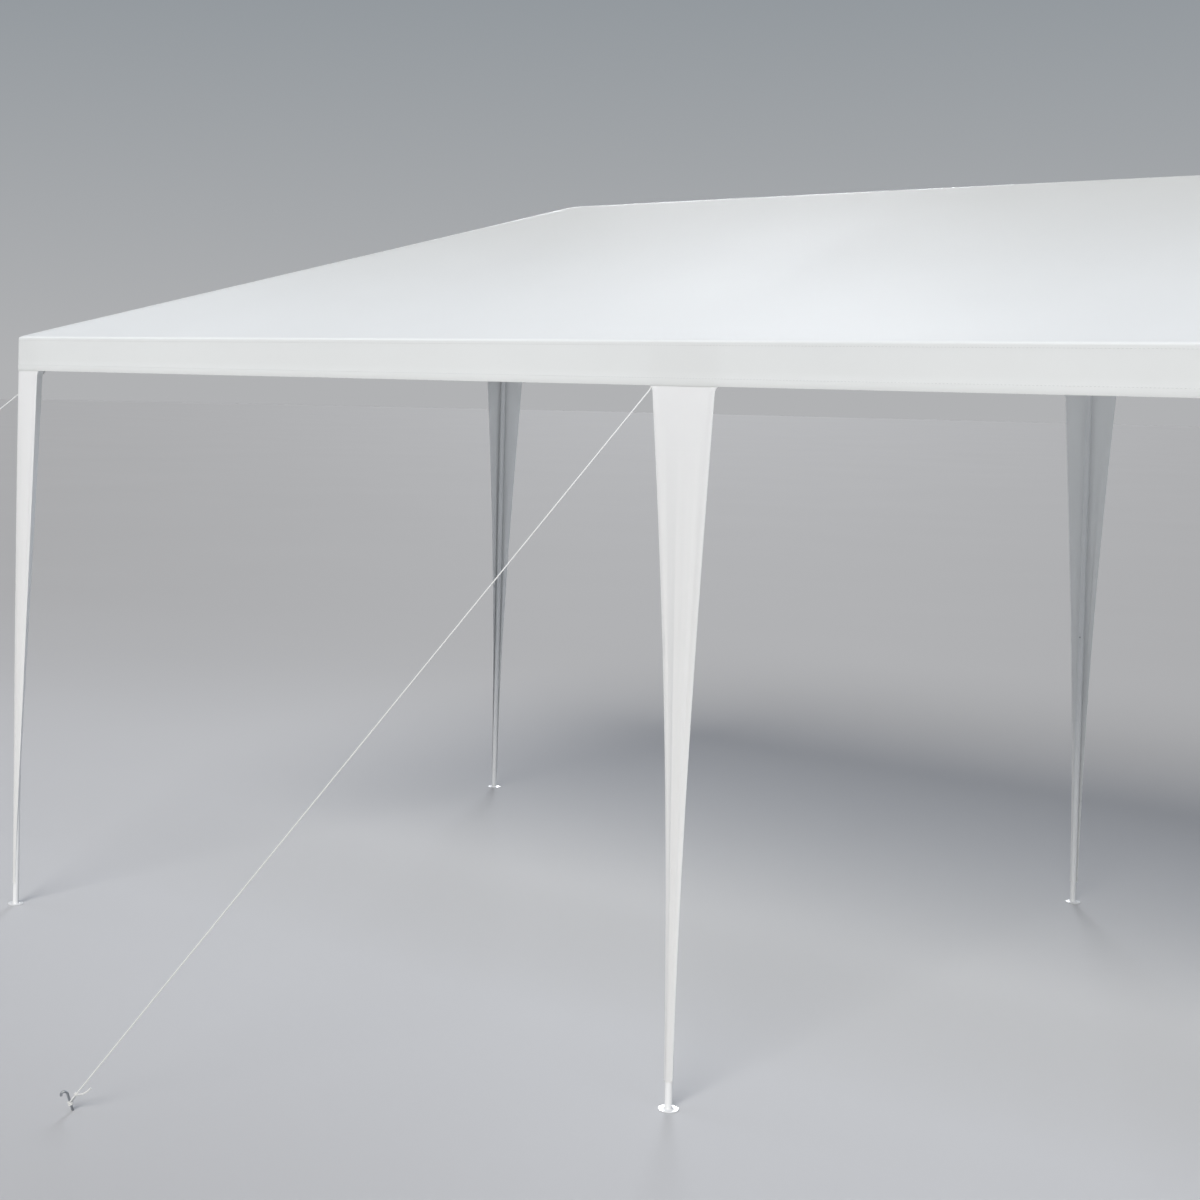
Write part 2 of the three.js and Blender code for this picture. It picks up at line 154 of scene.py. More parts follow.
def coated_cloth(name, light, dark, roughness, passes):
    """White polyethylene tarpaulin: flat tapes woven, then coated with a smooth film on both sides.
    It gives a soft, faintly glossy white with hardly any weave, and shallow creases from folding.
    Some light comes through it, so that it glows a little when lit from behind: passes is the
    share that each of its two faces lets through."""
    material, tree = new_material(name)
    uv = add_node(tree, "ShaderNodeTexCoord").outputs["UV"]
    tone = add_node(tree, "ShaderNodeTexNoise", {"Vector": uv, "Scale": 1.6, "Detail": 3.0})
    mix = add_node(tree, "ShaderNodeMix", {0: tone.outputs["Fac"], 6: colour(dark), 7: colour(light)},
                   data_type="RGBA")
    scale = WAVE_PERIOD / WEAVE
    along = add_node(tree, "ShaderNodeTexWave", {"Vector": uv, "Scale": scale}, bands_direction="X")
    across = add_node(tree, "ShaderNodeTexWave", {"Vector": uv, "Scale": scale}, bands_direction="Y")
    weave = add_node(tree, "ShaderNodeMath", {0: along.outputs["Fac"], 1: across.outputs["Fac"]},
                     operation="MULTIPLY")
    weave_bump = add_node(tree, "ShaderNodeBump", {
        "Strength": 0.12, "Distance": 0.15 * MM, "Height": weave.outputs["Value"]})
    crinkle = add_node(tree, "ShaderNodeTexNoise", {"Vector": uv, "Scale": 7.0, "Detail": 4.0,
                                                    "Roughness": 0.45, "Distortion": 0.6})
    crinkle_bump = add_node(tree, "ShaderNodeBump", {
        "Strength": 0.22, "Distance": 2.2 * MM, "Height": crinkle.outputs["Fac"],
        "Normal": weave_bump.outputs["Normal"]})
    parts = add_node(tree, "ShaderNodeSeparateXYZ", {"Vector": uv})
    folds = []
    for axis in ("X", "Y"):
        saw = add_node(tree, "ShaderNodeMath", {0: parts.outputs[axis], 1: BAG_FOLD / 2},
                       operation="PINGPONG")
        ridge = add_node(tree, "ShaderNodeMapRange", {
            "Value": saw.outputs["Value"], "From Min": 0.0, "From Max": CREASE,
            "To Min": 1.0, "To Max": 0.0}, interpolation_type="SMOOTHSTEP")
        folds.append(ridge.outputs["Result"])
    creases = add_node(tree, "ShaderNodeMath", {0: folds[0], 1: folds[1]}, operation="MAXIMUM")
    crease_bump = add_node(tree, "ShaderNodeBump", {
        "Strength": 0.16, "Distance": 0.5 * MM, "Height": creases.outputs["Value"],
        "Normal": crinkle_bump.outputs["Normal"]})
    film = add_node(tree, "ShaderNodeBsdfPrincipled", {
        "Base Color": mix.outputs[2], "Roughness": roughness, "Specular IOR Level": 0.35,
        "Normal": crease_bump.outputs["Normal"]})
    through = add_node(tree, "ShaderNodeBsdfTranslucent", {
        "Color": mix.outputs[2], "Normal": crease_bump.outputs["Normal"]})
    both = add_node(tree, "ShaderNodeMixShader", {
        0: passes, 1: film.outputs["BSDF"], 2: through.outputs["BSDF"]})
    add_node(tree, "ShaderNodeOutputMaterial", {"Surface": both.outputs["Shader"]})
    return material


def powder_coat(name, light, dark):
    """White polyester powder coat baked on steel tube: semi-gloss, with a fine orange-peel surface."""
    material, tree = new_material(name)
    place = add_node(tree, "ShaderNodeTexCoord").outputs["Object"]
    tone = add_node(tree, "ShaderNodeTexNoise", {"Vector": place, "Scale": 9.0, "Detail": 2.0})
    mix = add_node(tree, "ShaderNodeMix", {0: tone.outputs["Fac"], 6: colour(dark), 7: colour(light)},
                   data_type="RGBA")
    peel = add_node(tree, "ShaderNodeTexNoise", {"Vector": place, "Scale": 1 / ORANGE_PEEL})
    bump = add_node(tree, "ShaderNodeBump", {
        "Strength": 0.1, "Distance": 0.05 * MM, "Height": peel.outputs["Fac"]})
    rough = add_node(tree, "ShaderNodeMapRange", {
        "Value": tone.outputs["Fac"], "To Min": 0.30, "To Max": 0.42})
    shader = add_node(tree, "ShaderNodeBsdfPrincipled", {
        "Base Color": mix.outputs[2], "Roughness": rough.outputs["Result"],
        "Normal": bump.outputs["Normal"]})
    add_node(tree, "ShaderNodeOutputMaterial", {"Surface": shader.outputs["BSDF"]})
    return material


def braided_cord(name):
    """Braided polyester cord: matt white, with crossing strands, and painted shade in the grooves between
    them. The map's first axis runs round it.
    """
    material, tree = new_material(name)
    uv = add_node(tree, "ShaderNodeTexCoord").outputs["UV"]
    heights = []
    for turn in (1, -1):
        slant = add_node(tree, "ShaderNodeMapping", {
            "Vector": uv, "Rotation": (0, 0, turn * CORD_SLANT)})
        band = add_node(tree, "ShaderNodeTexWave", {
            "Vector": slant.outputs["Vector"], "Scale": WAVE_PERIOD / CORD_STRANDS})
        heights.append(band.outputs["Fac"])
    strands = add_node(tree, "ShaderNodeMath", {0: heights[0], 1: heights[1]}, operation="MAXIMUM")
    # darker where the strands are low: painted shade in the grooves between them
    mix = add_node(tree, "ShaderNodeMix", {
        0: strands.outputs["Value"], 6: colour("#C6C8C6"), 7: colour("#F4F5F4")}, data_type="RGBA")
    bump = add_node(tree, "ShaderNodeBump", {
        "Strength": 0.5, "Distance": 0.3 * MM, "Height": strands.outputs["Value"]})
    shader = add_node(tree, "ShaderNodeBsdfPrincipled", {
        "Base Color": mix.outputs[2], "Roughness": 0.85, "Normal": bump.outputs["Normal"]})
    add_node(tree, "ShaderNodeOutputMaterial", {"Surface": shader.outputs["BSDF"]})
    return material


def zinc_steel(name):
    """Zinc-plated mild steel wire: a cool grey metal, a little cloudy."""
    material, tree = new_material(name)
    place = add_node(tree, "ShaderNodeTexCoord").outputs["Object"]
    cloud = add_node(tree, "ShaderNodeTexNoise", {"Vector": place, "Scale": 90.0, "Detail": 3.0})
    mix = add_node(tree, "ShaderNodeMix", {
        0: cloud.outputs["Fac"], 6: colour("#8C9196"), 7: colour("#C2C6CA")}, data_type="RGBA")
    rough = add_node(tree, "ShaderNodeMapRange", {
        "Value": cloud.outputs["Fac"], "To Min": 0.28, "To Max": 0.5})
    shader = add_node(tree, "ShaderNodeBsdfPrincipled", {
        "Base Color": mix.outputs[2], "Roughness": rough.outputs["Result"], "Metallic": 1.0})
    add_node(tree, "ShaderNodeOutputMaterial", {"Surface": shader.outputs["BSDF"]})
    return material


def woven_tape(name):
    """White polyester webbing, 20 mm wide: matt, with cross ribs, and painted shade where they are low."""
    material, tree = new_material(name)
    place = add_node(tree, "ShaderNodeTexCoord").outputs["Object"]
    ribs = add_node(tree, "ShaderNodeTexNoise", {"Vector": place, "Scale": 1 / TAPE_RIBS})
    # darker where the ribs' bump is low: painted shade in the hollows
    mix = add_node(tree, "ShaderNodeMix", {
        0: ribs.outputs["Fac"], 6: colour("#C9CBCA"), 7: colour("#E4E6E6")}, data_type="RGBA")
    bump = add_node(tree, "ShaderNodeBump", {
        "Strength": 0.4, "Distance": 0.2 * MM, "Height": ribs.outputs["Fac"]})
    shader = add_node(tree, "ShaderNodeBsdfPrincipled", {
        "Base Color": mix.outputs[2], "Roughness": 0.8, "Normal": bump.outputs["Normal"]})
    add_node(tree, "ShaderNodeOutputMaterial", {"Surface": shader.outputs["BSDF"]})
    return material


def sewing_thread(name):
    """White spun polyester thread: matt, slightly fuzzy."""
    material, tree = new_material(name)
    place = add_node(tree, "ShaderNodeTexCoord").outputs["Object"]
    fuzz = add_node(tree, "ShaderNodeTexNoise", {"Vector": place, "Scale": 400.0})
    mix = add_node(tree, "ShaderNodeMix", {
        0: fuzz.outputs["Fac"], 6: colour("#CFD2D2"), 7: colour("#E6E8E8")}, data_type="RGBA")
    shader = add_node(tree, "ShaderNodeBsdfPrincipled", {"Base Color": mix.outputs[2], "Roughness": 0.9})
    add_node(tree, "ShaderNodeOutputMaterial", {"Surface": shader.outputs["BSDF"]})
    return material


ROOF_CLOTH = coated_cloth("coated_polyethylene_cloth", "#F3F5F4", "#EEF0EF", 0.5, 0.28)
# The skirts get a lighter copy of the cover's cloth that lets less through, so that they come out
# brighter: painted light.
SKIRT_CLOTH = coated_cloth("coated_polyethylene_skirt_cloth", "#F7F8F8", "#F2F3F3", 0.55, 0.22)
POWDER_COAT = powder_coat("white_powder_coat", "#EDEFF0", "#E4E6E8")
SOCKET_COAT = powder_coat("white_powder_coat_on_welds", "#E9EBEC", "#DEE0E2")
CORD = braided_cord("braided_polyester_cord")
ZINC = zinc_steel("zinc_plated_steel")
TAPE = woven_tape("polyester_webbing")
THREAD = sewing_thread("polyester_thread")


# Making and placing pieces

def in_scene(name, data):
    """A new object in the scene."""
    made = bpy.data.objects.new(name, data)
    bpy.context.scene.collection.objects.link(made)
    return made


def new_piece(name, mesh, material, nodes=()):
    """A finished piece at the origin, riding on the tent's one body."""
    mesh.materials.clear()
    mesh.materials.append(material)
    piece = in_scene(name, mesh)
    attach(piece, "root")
    if nodes:
        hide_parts(*nodes)
    return piece


def raw_mesh(name, points, edges, faces):
    """A mesh as it is listed, with no shading set."""
    mesh = bpy.data.meshes.new(name)
    mesh.from_pydata([tuple(p) for p in points], edges, faces)
    return mesh


def shade(mesh, sharp):
    """Smooth shading, with sharp edges past an angle in degrees, if one is given."""
    mesh.shade_smooth()
    if sharp is not None:
        mesh.set_sharp_from_angle(angle=math.radians(sharp))


def mesh_from(name, points, faces, sharp=None):
    """A mesh whose faces already point outwards, shaded."""
    mesh = raw_mesh(name, points, [], faces)
    mesh.validate()
    shade(mesh, sharp)
    return mesh


def outward_mesh(name, points, faces, sharp):
    """A closed mesh whose faces are made to point out."""
    mesh = raw_mesh(name, points, [], faces)
    shape = bmesh.new()
    shape.from_mesh(mesh)
    bmesh.ops.recalc_face_normals(shape, faces=shape.faces)
    shape.to_mesh(mesh)
    shape.free()
    shade(mesh, sharp)
    return mesh


def finished_mesh(holder):
    """The plain mesh that an object's modifiers make. The object itself is removed."""
    graph = bpy.context.evaluated_depsgraph_get()
    result = bpy.data.meshes.new_from_object(holder.evaluated_get(graph))
    bpy.data.objects.remove(holder)
    return result


def cloth_mesh(sheet):
    """A sheet given the cloth's thickness on its inner side, with a closed rim."""
    holder = in_scene("holder", sheet)
    modifier = holder.modifiers.new("thickness", "SOLIDIFY")
    modifier.thickness = CLOTH
    modifier.offset = -1
    modifier.use_even_offset = True
    result = finished_mesh(holder)
    result.set_sharp_from_angle(angle=math.radians(50))
    return result


def united(name, solids):
    """Several closed solids made one with exact booleans."""
    first, *others = [in_scene("holder", mesh_from("part", *solid)) for solid in solids]
    for other in others:
        modifier = first.modifiers.new("join", "BOOLEAN")
        modifier.operation = "UNION"
        modifier.solver = "EXACT"
        modifier.object = other
    result = finished_mesh(first)
    for other in others:
        bpy.data.objects.remove(other)
    result.name = name
    shade(result, 32)
    return result


def new_tree(name, inputs, output):
    """An empty geometry tree with its inputs, each a name and a kind of socket, and one output."""
    tree = bpy.data.node_groups.new(name, "GeometryNodeTree")
    for title, kind in inputs:
        tree.interface.new_socket(title, in_out="INPUT", socket_type="NodeSocket" + kind)
    tree.interface.new_socket(output, in_out="OUTPUT", socket_type="NodeSocketGeometry")
    return tree


def mesh_by_tree(mesh, tree, values):
    """The plain mesh that a geometry tree makes of a mesh, with these values for its inputs."""
    holder = in_scene("holder", mesh)
    modifier = holder.modifiers.new(tree.name, "NODES")
    modifier.node_group = tree
    for item in tree.interface.items_tree:
        if item.in_out == "INPUT" and item.name in values:
            modifier[item.identifier] = values[item.name]
    result = finished_mesh(holder)
    shade(result, None)
    return result


def grid_faces(columns, rows):
    """Faces of a grid of points, listed row by row."""
    faces = []
    for j in range(rows - 1):
        for i in range(columns - 1):
            a = j * columns + i
            faces.append((a, a + 1, a + columns + 1, a + columns))
    return faces


def turned(profile, start, direction, sides=ROUND):
    """Points and faces of a shape turned about an axis. The profile is (radius, height) pairs from
    the axis at the bottom back to the axis at the top."""
    frame_turn = UP.rotation_difference(direction.normalized())
    points = [start + frame_turn @ Vector((0, 0, profile[0][1]))]
    faces = []
    rings = profile[1:-1]
    for radius, height in rings:
        for i in range(sides):
            turn = math.tau * i / sides
            local = Vector((radius * math.cos(turn), radius * math.sin(turn), height))
            points.append(start + frame_turn @ local)
    points.append(start + frame_turn @ Vector((0, 0, profile[-1][1])))
    top = len(points) - 1
    for i in range(sides):
        j = (i + 1) % sides
        faces.append((0, 1 + j, 1 + i))
        for ring in range(len(rings) - 1):
            a = 1 + ring * sides
            faces.append((a + i, a + j, a + sides + j, a + sides + i))
        last = 1 + (len(rings) - 1) * sides
        faces.append((last + i, last + j, top))
    return points, faces


def joined(parts):
    """Several (points, faces) as one."""
    points, faces = [], []
    for more_points, more_faces in parts:
        offset = len(points)
        points += more_points
        faces += [tuple(i + offset for i in face) for face in more_faces]
    return points, faces


def swept(route, radius, sides):
    """A closed round bar through a list of points, with its length along it for the map."""
    points, faces, along = [], [], []
    normal = None
    travelled = 0.0
    for i, point in enumerate(route):
        before, after = route[max(i - 1, 0)], route[min(i + 1, len(route) - 1)]
        tangent = (after - before).normalized()
        if normal is None:
            normal = tangent.orthogonal().normalized()
        normal = (normal - tangent * normal.dot(tangent)).normalized()
        side = tangent.cross(normal)
        if i:
            travelled += (point - route[i - 1]).length
        for j in range(sides):
            turn = math.tau * j / sides
            points.append(point + radius * (normal * math.cos(turn) + side * math.sin(turn)))
            along.append(travelled)
    for i in range(len(route) - 1):
        for j in range(sides):
            a, b = i * sides + j, i * sides + (j + 1) % sides
            faces.append((a, b, b + sides, a + sides))
    last = (len(route) - 1) * sides
    faces.append(tuple(reversed(range(sides))))
    faces.append(tuple(range(last, last + sides)))
    return points, faces, along


# The cover: one sheet from the ridge to the hem of the valance

FOLD_RADIUS = 6 * MM           # the eave, where the roof turns down into the valance
CORNER_RADIUS = 12 * MM
HIP_BLEND = 26 * MM            # width over which two slopes turn into each other
SAG = 5 * MM
SAG_REACH = 0.2                # how far from its supports the cloth sags the most
GRID_STEP = 34 * MM
WAVE_HEIGHT = 1.3 * MM         # shallow waves in the cloth
WAVES_PER_METRE = 2.3
CORNER_FOLD = 1.1 * MM         # height of the small folds that run out from the corners
CORNER_FOLDS = 15              # how many of them would fit round a full turn
CORNER_START, CORNER_FADE = 0.12, 0.4
CALM_EDGE = 0.06               # along its edge the cloth is drawn tight


def spread(start, end, step):
    """Evenly spaced values between start and end, without those two."""
    count = max(int(round((end - start) / step)), 1)
    return list(np.linspace(start, end, count + 1)[1:-1])


def eave_to_ridge():
    """Distances in from the eave for the grid, closer together at the eave and the ridge."""
    near = [0, 0.4 * MM, 1.2 * MM, 2.5 * MM, 4.1 * MM, FOLD_RADIUS, 13 * MM, 30 * MM]
    far = [HALF_SPAN - d for d in (30 * MM, 14 * MM, 5 * MM, 0)]
    return near + spread(near[-1], far[0], GRID_STEP) + far


def grid_lines(span):
    """Places of the grid's lines along one span, from eave to eave, closer at a middle rafter."""
    inward = eave_to_ridge()
    middle = span / 2
    lines = list(inward)
    if span > SPAN_Y:
        rafter = [middle + d for d in (-26 * MM, -12 * MM, 0, 12 * MM, 26 * MM)]
        lines += spread(inward[-1], rafter[0], GRID_STEP) + rafter
        lines += spread(rafter[-1], span - inward[-1], GRID_STEP) + [span - inward[-1]]
    lines += [span - d for d in reversed(inward[:-1])]
    return lines


def soft_min(a, b, width):
    """The smaller of two distances, eased where they are nearly the same."""
    reach = max(width - abs(a - b), 0) / width
    return min(a, b) - reach * reach * width / 4


def sag_at(x, y):
    """How far the cloth hangs below a taut roof between its tubes."""
    across = min(x, SPAN_X - x)
    inside = min(y, SPAN_Y - y)
    if inside <= across:
        supports = [(across - inside) / math.sqrt(2), abs(x - SPAN_X / 2), HALF_SPAN - inside]
    else:
        supports = [(inside - across) / math.sqrt(2)] * 2
    supports.append(min(inside, across) - OVERHANG)
    if min(supports) <= 0:
        return 0.0
    together = 1 / sum(1 / s for s in supports)
    return SAG * (together / SAG_REACH) ** 1.5


def crinkle_at(x, y):
    """How far the waves and the corners' folds lift the cloth."""
    wave = WAVE_HEIGHT * noise.noise(Vector((x * WAVES_PER_METRE, y * WAVES_PER_METRE, 0.4)))
    for corner_x in (0, SPAN_X):
        for corner_y in (0, SPAN_Y):
            reach = math.hypot(x - corner_x, y - corner_y)
            angle = math.atan2(abs(y - corner_y), abs(x - corner_x))
            fade = min(reach / CORNER_START, 1) * math.exp(-reach / CORNER_FADE)
            wave += CORNER_FOLD * fade * math.cos(CORNER_FOLDS * angle)
    inside = min(x, y, SPAN_X - x, SPAN_Y - y)
    return wave * min(inside / CALM_EDGE, 1)


def roof_height(x, y):
    """Height of the cloth's outer face, from distances along and in from its outer corner."""
    front, rear, left, right = y, SPAN_Y - y, x, SPAN_X - x
    inside = soft_min(soft_min(front, rear, HIP_BLEND), soft_min(left, right, HIP_BLEND), HIP_BLEND)
    height = EAVE + SLOPE * inside
    edge = min(front, rear, left, right)
    if edge < FOLD_RADIUS:
        height -= FOLD_RADIUS - math.sqrt(max(FOLD_RADIUS ** 2 - (FOLD_RADIUS - edge) ** 2, 0))
    return height - sag_at(x, y) + crinkle_at(x, y)


def rounded_plan(x, y):
    """Rounds the plan's corners: the square rings of the grid at a corner become circles."""
    dx, dy = min(x, SPAN_X - x), min(y, SPAN_Y - y)
    if max(dx, dy) >= CORNER_RADIUS:
        return x, y
    back = Vector((CORNER_RADIUS - dx, CORNER_RADIUS - dy))
    back *= max(back) / back.length
    dx, dy = CORNER_RADIUS - back.x, CORNER_RADIUS - back.y
    return (dx if x < SPAN_X / 2 else SPAN_X - dx, dy if y < SPAN_Y / 2 else SPAN_Y - dy)


# The valance

HEM_WIDTH = 22 * MM
HEM_PROUD = 0.35 * MM
SWING_REACH = 0.3              # from a skirt to where the valance hangs free
SLOW_SWING, QUICK_SWING = 1.3 * MM, 0.8 * MM
EAVE_STITCHES = 2              # the row under the eave that is sewn
HEM_STITCHES = 8               # the row at the top of the hem that is sewn


def valance_rows():
    """Rows of the valance, each its depth below the eave and how far it stands out, and its drop."""
    drop = EAVE - FOLD_RADIUS - HEM
    stitched = drop - HEM_WIDTH
    rows = [(d, 0.0) for d in (1.5 * MM, 4 * MM, 8 * MM)]
    rows += [(d, 0.0) for d in np.linspace(20 * MM, stitched - 1.5 * MM, 5)]
    rows += [(stitched + 0.5 * MM, HEM_PROUD), (drop - 12 * MM, HEM_PROUD), (drop - 1.5 * MM, HEM_PROUD)]
    rows += [(drop, 0.0)]
    return rows, drop


def valance_swing(point, along, share):
    """How far the hanging strip stands out from the plumb line. It only moves outwards, and not
    where a leg's skirt is sewn to it."""
    free = 1.0
    for place, leg in LEG.items():
        half = MID_SKIRT_HALF if place.endswith("mid") else CORNER_SKIRT_REACH
        away = math.hypot(point.x - leg.x, point.y - leg.y) - half
        free = min(free, max(away / SWING_REACH, 0))
    slow = 0.5 + 0.5 * noise.noise(Vector((along * 1.1, 3.7, 0)))
    quick = 0.5 + 0.5 * noise.noise(Vector((along * 4.0, 9.1, 0)))
    return free * share * (SLOW_SWING * slow + QUICK_SWING * quick)


def make_cover():
    """Points and faces of the roof grid, then the strip that hangs from its edge; and how many
    points the roof has, and how many a row of the strip has."""
    xs, ys = grid_lines(SPAN_X), grid_lines(SPAN_Y)
    columns, rows = len(xs), len(ys)
    points = []
    for y in ys:
        for x in xs:
            px, py = rounded_plan(x, y)
            points.append(Vector((px - OVERHANG, py - OVERHANG, roof_height(x, y))))
    faces = grid_faces(columns, rows)
    rim = list(range(columns))
    rim += [j * columns + columns - 1 for j in range(1, rows)]
    rim += [(rows - 1) * columns + i for i in range(columns - 2, -1, -1)]
    rim += [j * columns for j in range(rows - 2, 0, -1)]
    levels, drop = valance_rows()
    along = [0.0]
    for a, b in zip(rim, rim[1:]):
        along.append(along[-1] + (points[a] - points[b]).length)
    previous = rim
    for depth, proud in levels:
        current = []
        for k, index in enumerate(rim):
            edge = points[index]
            before, after = points[rim[k - 1]], points[rim[(k + 1) % len(rim)]]
            tangent = after - before
            outward = Vector((tangent.y, -tangent.x, 0)).normalized()
            shift = outward * (proud + valance_swing(edge, along[k], depth / drop))
            current.append(len(points))
            points.append(Vector((edge.x, edge.y, edge.z - depth)) + shift)
        for k in range(len(rim)):
            n = (k + 1) % len(rim)
            faces.append((previous[n], previous[k], current[k], current[n]))
        previous = current
    return points, faces, columns * rows, len(rim)


def map_cloth(mesh):
    """A map in metres: along and up each slope, and along and down each strip of the valance."""
    layer = mesh.uv_layers.new(name="cloth")
    up_slope = math.hypot(1, SLOPE)
    for face in mesh.polygons:
        n = face.normal
        ends = abs(n.x) > abs(n.y)
        for loop in face.loop_indices:
            p = mesh.vertices[mesh.loops[loop].vertex_index].co
            if abs(n.z) > 0.5:
                u, v = (p.y, p.x * up_slope) if ends else (p.x, p.y * up_slope)
            else:
                u, v = (p.y, p.z) if ends else (p.x, p.z)
            layer.data[loop].uv = (u, v)


# Leg skirts

MID_TAPER, CORNER_TAPER = 1.7, 1.35    # as the solids: 1 is a straight edge
SKIRT_END = SKIRT_LOW.z
SKIRT_TOP = SKIRT_HIGH.z - 1.5 * MM
EDGE_HEM = 15 * MM
# A skirt is sewn to the inside of the valance: this is its outer face, from the leg's axis.
SKIRT_LIES = OVERHANG - CLOTH - 0.1 * MM
SKIRT_CORNER = CORNER_RADIUS - OVERHANG + SKIRT_LIES
FILLET = 16 * MM               # height of the curve by which a skirt's edges run out to the hem
FILLET_REACH = 8 * MM
SKIRT_FOLD = 2.6 * MM          # height of the upright folds in a skirt
SKIRT_CLEAR = 1.2 * MM         # between the leg and the cloth that is wrapped round it
SKIRT_WRAP = math.radians(38)  # how much further round the leg it goes at its lower end
SKIRT_FOOT = TUBE_RADIUS + 6 * MM          # half its width there
SKIRT_COLUMNS, SKIRT_ROWS = 25, 63


def fall(z):
    """1 at the valance's hem and above, 0 at the skirt's lower end."""
    return min(max((z - SKIRT_END) / (HEM - SKIRT_END), 0), 1)


def skirt_point(axis, outward, wrap_top, wrap_end, half, s, z, seed):
    """A point of a skirt at arc length s from its middle: round the leg, then straight on. Its
    folds are two sets of upright waves and some unevenness, and die out at its ends."""
    side = Vector((-outward.y, outward.x, 0))
    share = fall(z)
    top_radius, set_out = (SKIRT_CORNER, SKIRT_LIES - SKIRT_CORNER) if wrap_top else (SKIRT_LIES, 0)
    radius = (TUBE_RADIUS + SKIRT_CLEAR) * (1 - share) + top_radius * share
    wrap = wrap_end + (wrap_top - wrap_end) * min(share * 1.02, 1) ** 0.8
    angle = max(min(s / radius, wrap), -wrap)
    bend = outward * math.cos(angle) + side * math.sin(angle)
    run = s - angle * radius
    point = axis + outward * set_out * math.sqrt(2) * share + bend * radius
    point += (side * math.cos(angle) - outward * math.sin(angle)) * run
    u = s / half
    free = math.sin(math.pi * min(share * 1.04, 1)) ** 0.6 if 0 < share < 0.99 else 0.0
    folds = 0.55 * math.cos(math.tau * (1.7 * u + 0.13 * seed) + 0.6 * z)
    folds += 0.30 * math.cos(math.tau * (3.1 * u + 0.37 * seed) - 1.1 * z)
    folds += 0.25 * noise.noise(Vector((u * 2.0, z * 1.4, seed)))
    height = SKIRT_FOLD * free * (0.9 + folds) * min(half / (60 * MM), 1)
    return Vector((point.x, point.y, z)) + bend * height


def skirt_columns(half):
    """Arc lengths across a skirt, with a folded hem along each edge; each with how far it is proud."""
    hem = min(EDGE_HEM, half * 0.35)
    inner = half - hem
    proud = 0.3 * MM
    edge = 1.2 * MM * hem / EDGE_HEM
    columns = [(-half, 0.1 * MM), (-half + edge, proud), (-inner - 0.8 * MM, proud)]
    columns += [(s, 0.0) for s in np.linspace(-inner, inner, SKIRT_COLUMNS)]
    columns += [(-s, proud) for s, proud in reversed(columns[:3])]
    return columns


def make_skirt(place, seed):
    """Points and faces of a skirt, each point's arc length and height, and how many points a row has."""
    axis = LEG[place]
    outward = Vector((0, -1 if axis.y < DEPTH / 2 else 1, 0))
    full, taper, wrap_top = MID_SKIRT_HALF, MID_TAPER, 0.0
    if not place.endswith("mid"):
        outward.x = -1 if axis.x < LENGTH / 2 else 1
        outward.normalize()
        wrap_top = math.pi / 4
        full = SKIRT_CORNER * math.pi / 4 + SKIRT_LIES - SKIRT_CORNER + CORNER_SKIRT_REACH
        taper = CORNER_TAPER
    wrap_end = wrap_top + SKIRT_WRAP
    heights = list(np.linspace(SKIRT_END, HEM - 20 * MM, SKIRT_ROWS))
    heights += [HEM - FILLET * share for share in (1, 0.75, 0.5, 0.3, 0.15, 0)]
    heights += list(np.linspace(HEM, SKIRT_TOP, 6)[1:])
    points, arc = [], []
    count = len(skirt_columns(full))
    for z in heights:
        half = SKIRT_FOOT + (full - SKIRT_FOOT) * fall(z) ** taper
        half += FILLET_REACH * min(max(1 - (HEM - z) / FILLET, 0), 1) ** 2
        for s, proud in skirt_columns(half):
            shape = (axis, outward, wrap_top, wrap_end, half)
            point = skirt_point(*shape, s, z, seed)
            if z < HEM:
                middle = skirt_point(*shape, s * 0.9, z, seed)
                flat = Vector((point.x - middle.x, point.y - middle.y, 0))
                normal = Vector((flat.y, -flat.x, 0)) * (1 if s > 0 else -1)
                if normal.length > 0:
                    point += normal.normalized() * proud
            points.append(point)
            arc.append((s, z))
    return points, grid_faces(count, len(heights)), arc, count


# Stitches along seams

def stitch_tree():
    """Stitches along every edge line of a mesh, each a short thread lying on the cloth."""
    inputs = [("Lines", "Geometry"), ("Pitch", "Float"), ("Length", "Float"), ("Width", "Float"),
              ("Thread", "Material")]
    tree = new_tree("stitches", inputs, "Stitches")
    given = add_node(tree, "NodeGroupInput").outputs
    curve = add_node(tree, "GeometryNodeMeshToCurve", {"Mesh": given["Lines"]})
    run = add_node(tree, "GeometryNodeResampleCurve", {
        "Curve": curve.outputs["Curve"], "Length": given["Pitch"]}, mode="LENGTH")
    tangent = add_node(tree, "GeometryNodeInputTangent")
    turn = add_node(tree, "FunctionNodeAlignRotationToVector", {
        "Vector": tangent.outputs["Tangent"]}, axis="X")
    size = add_node(tree, "ShaderNodeCombineXYZ", {
        "X": given["Length"], "Y": given["Width"], "Z": given["Width"]})
    bead = add_node(tree, "GeometryNodeMeshUVSphere", {"Segments": 5, "Rings": 3, "Radius": 0.5})
    placed = add_node(tree, "GeometryNodeInstanceOnPoints", {
        "Points": run.outputs["Curve"], "Instance": bead.outputs["Mesh"],
        "Rotation": turn.outputs["Rotation"], "Scale": size.outputs["Vector"]})
    real = add_node(tree, "GeometryNodeRealizeInstances", {"Geometry": placed.outputs["Instances"]})
    dressed = add_node(tree, "GeometryNodeSetMaterial", {
        "Geometry": real.outputs["Geometry"], "Material": given["Thread"]})
    add_node(tree, "NodeGroupOutput", {"Stitches": dressed.outputs["Geometry"]})
    return tree


STITCHES = stitch_tree()
# Real stitches are 4 mm long and half a millimetre thick, drawn larger so that they show.
STITCH_PITCH, STITCH_LENGTH = 10 * MM, 6.8 * MM
THREAD_WIDTH = 1.1 * MM


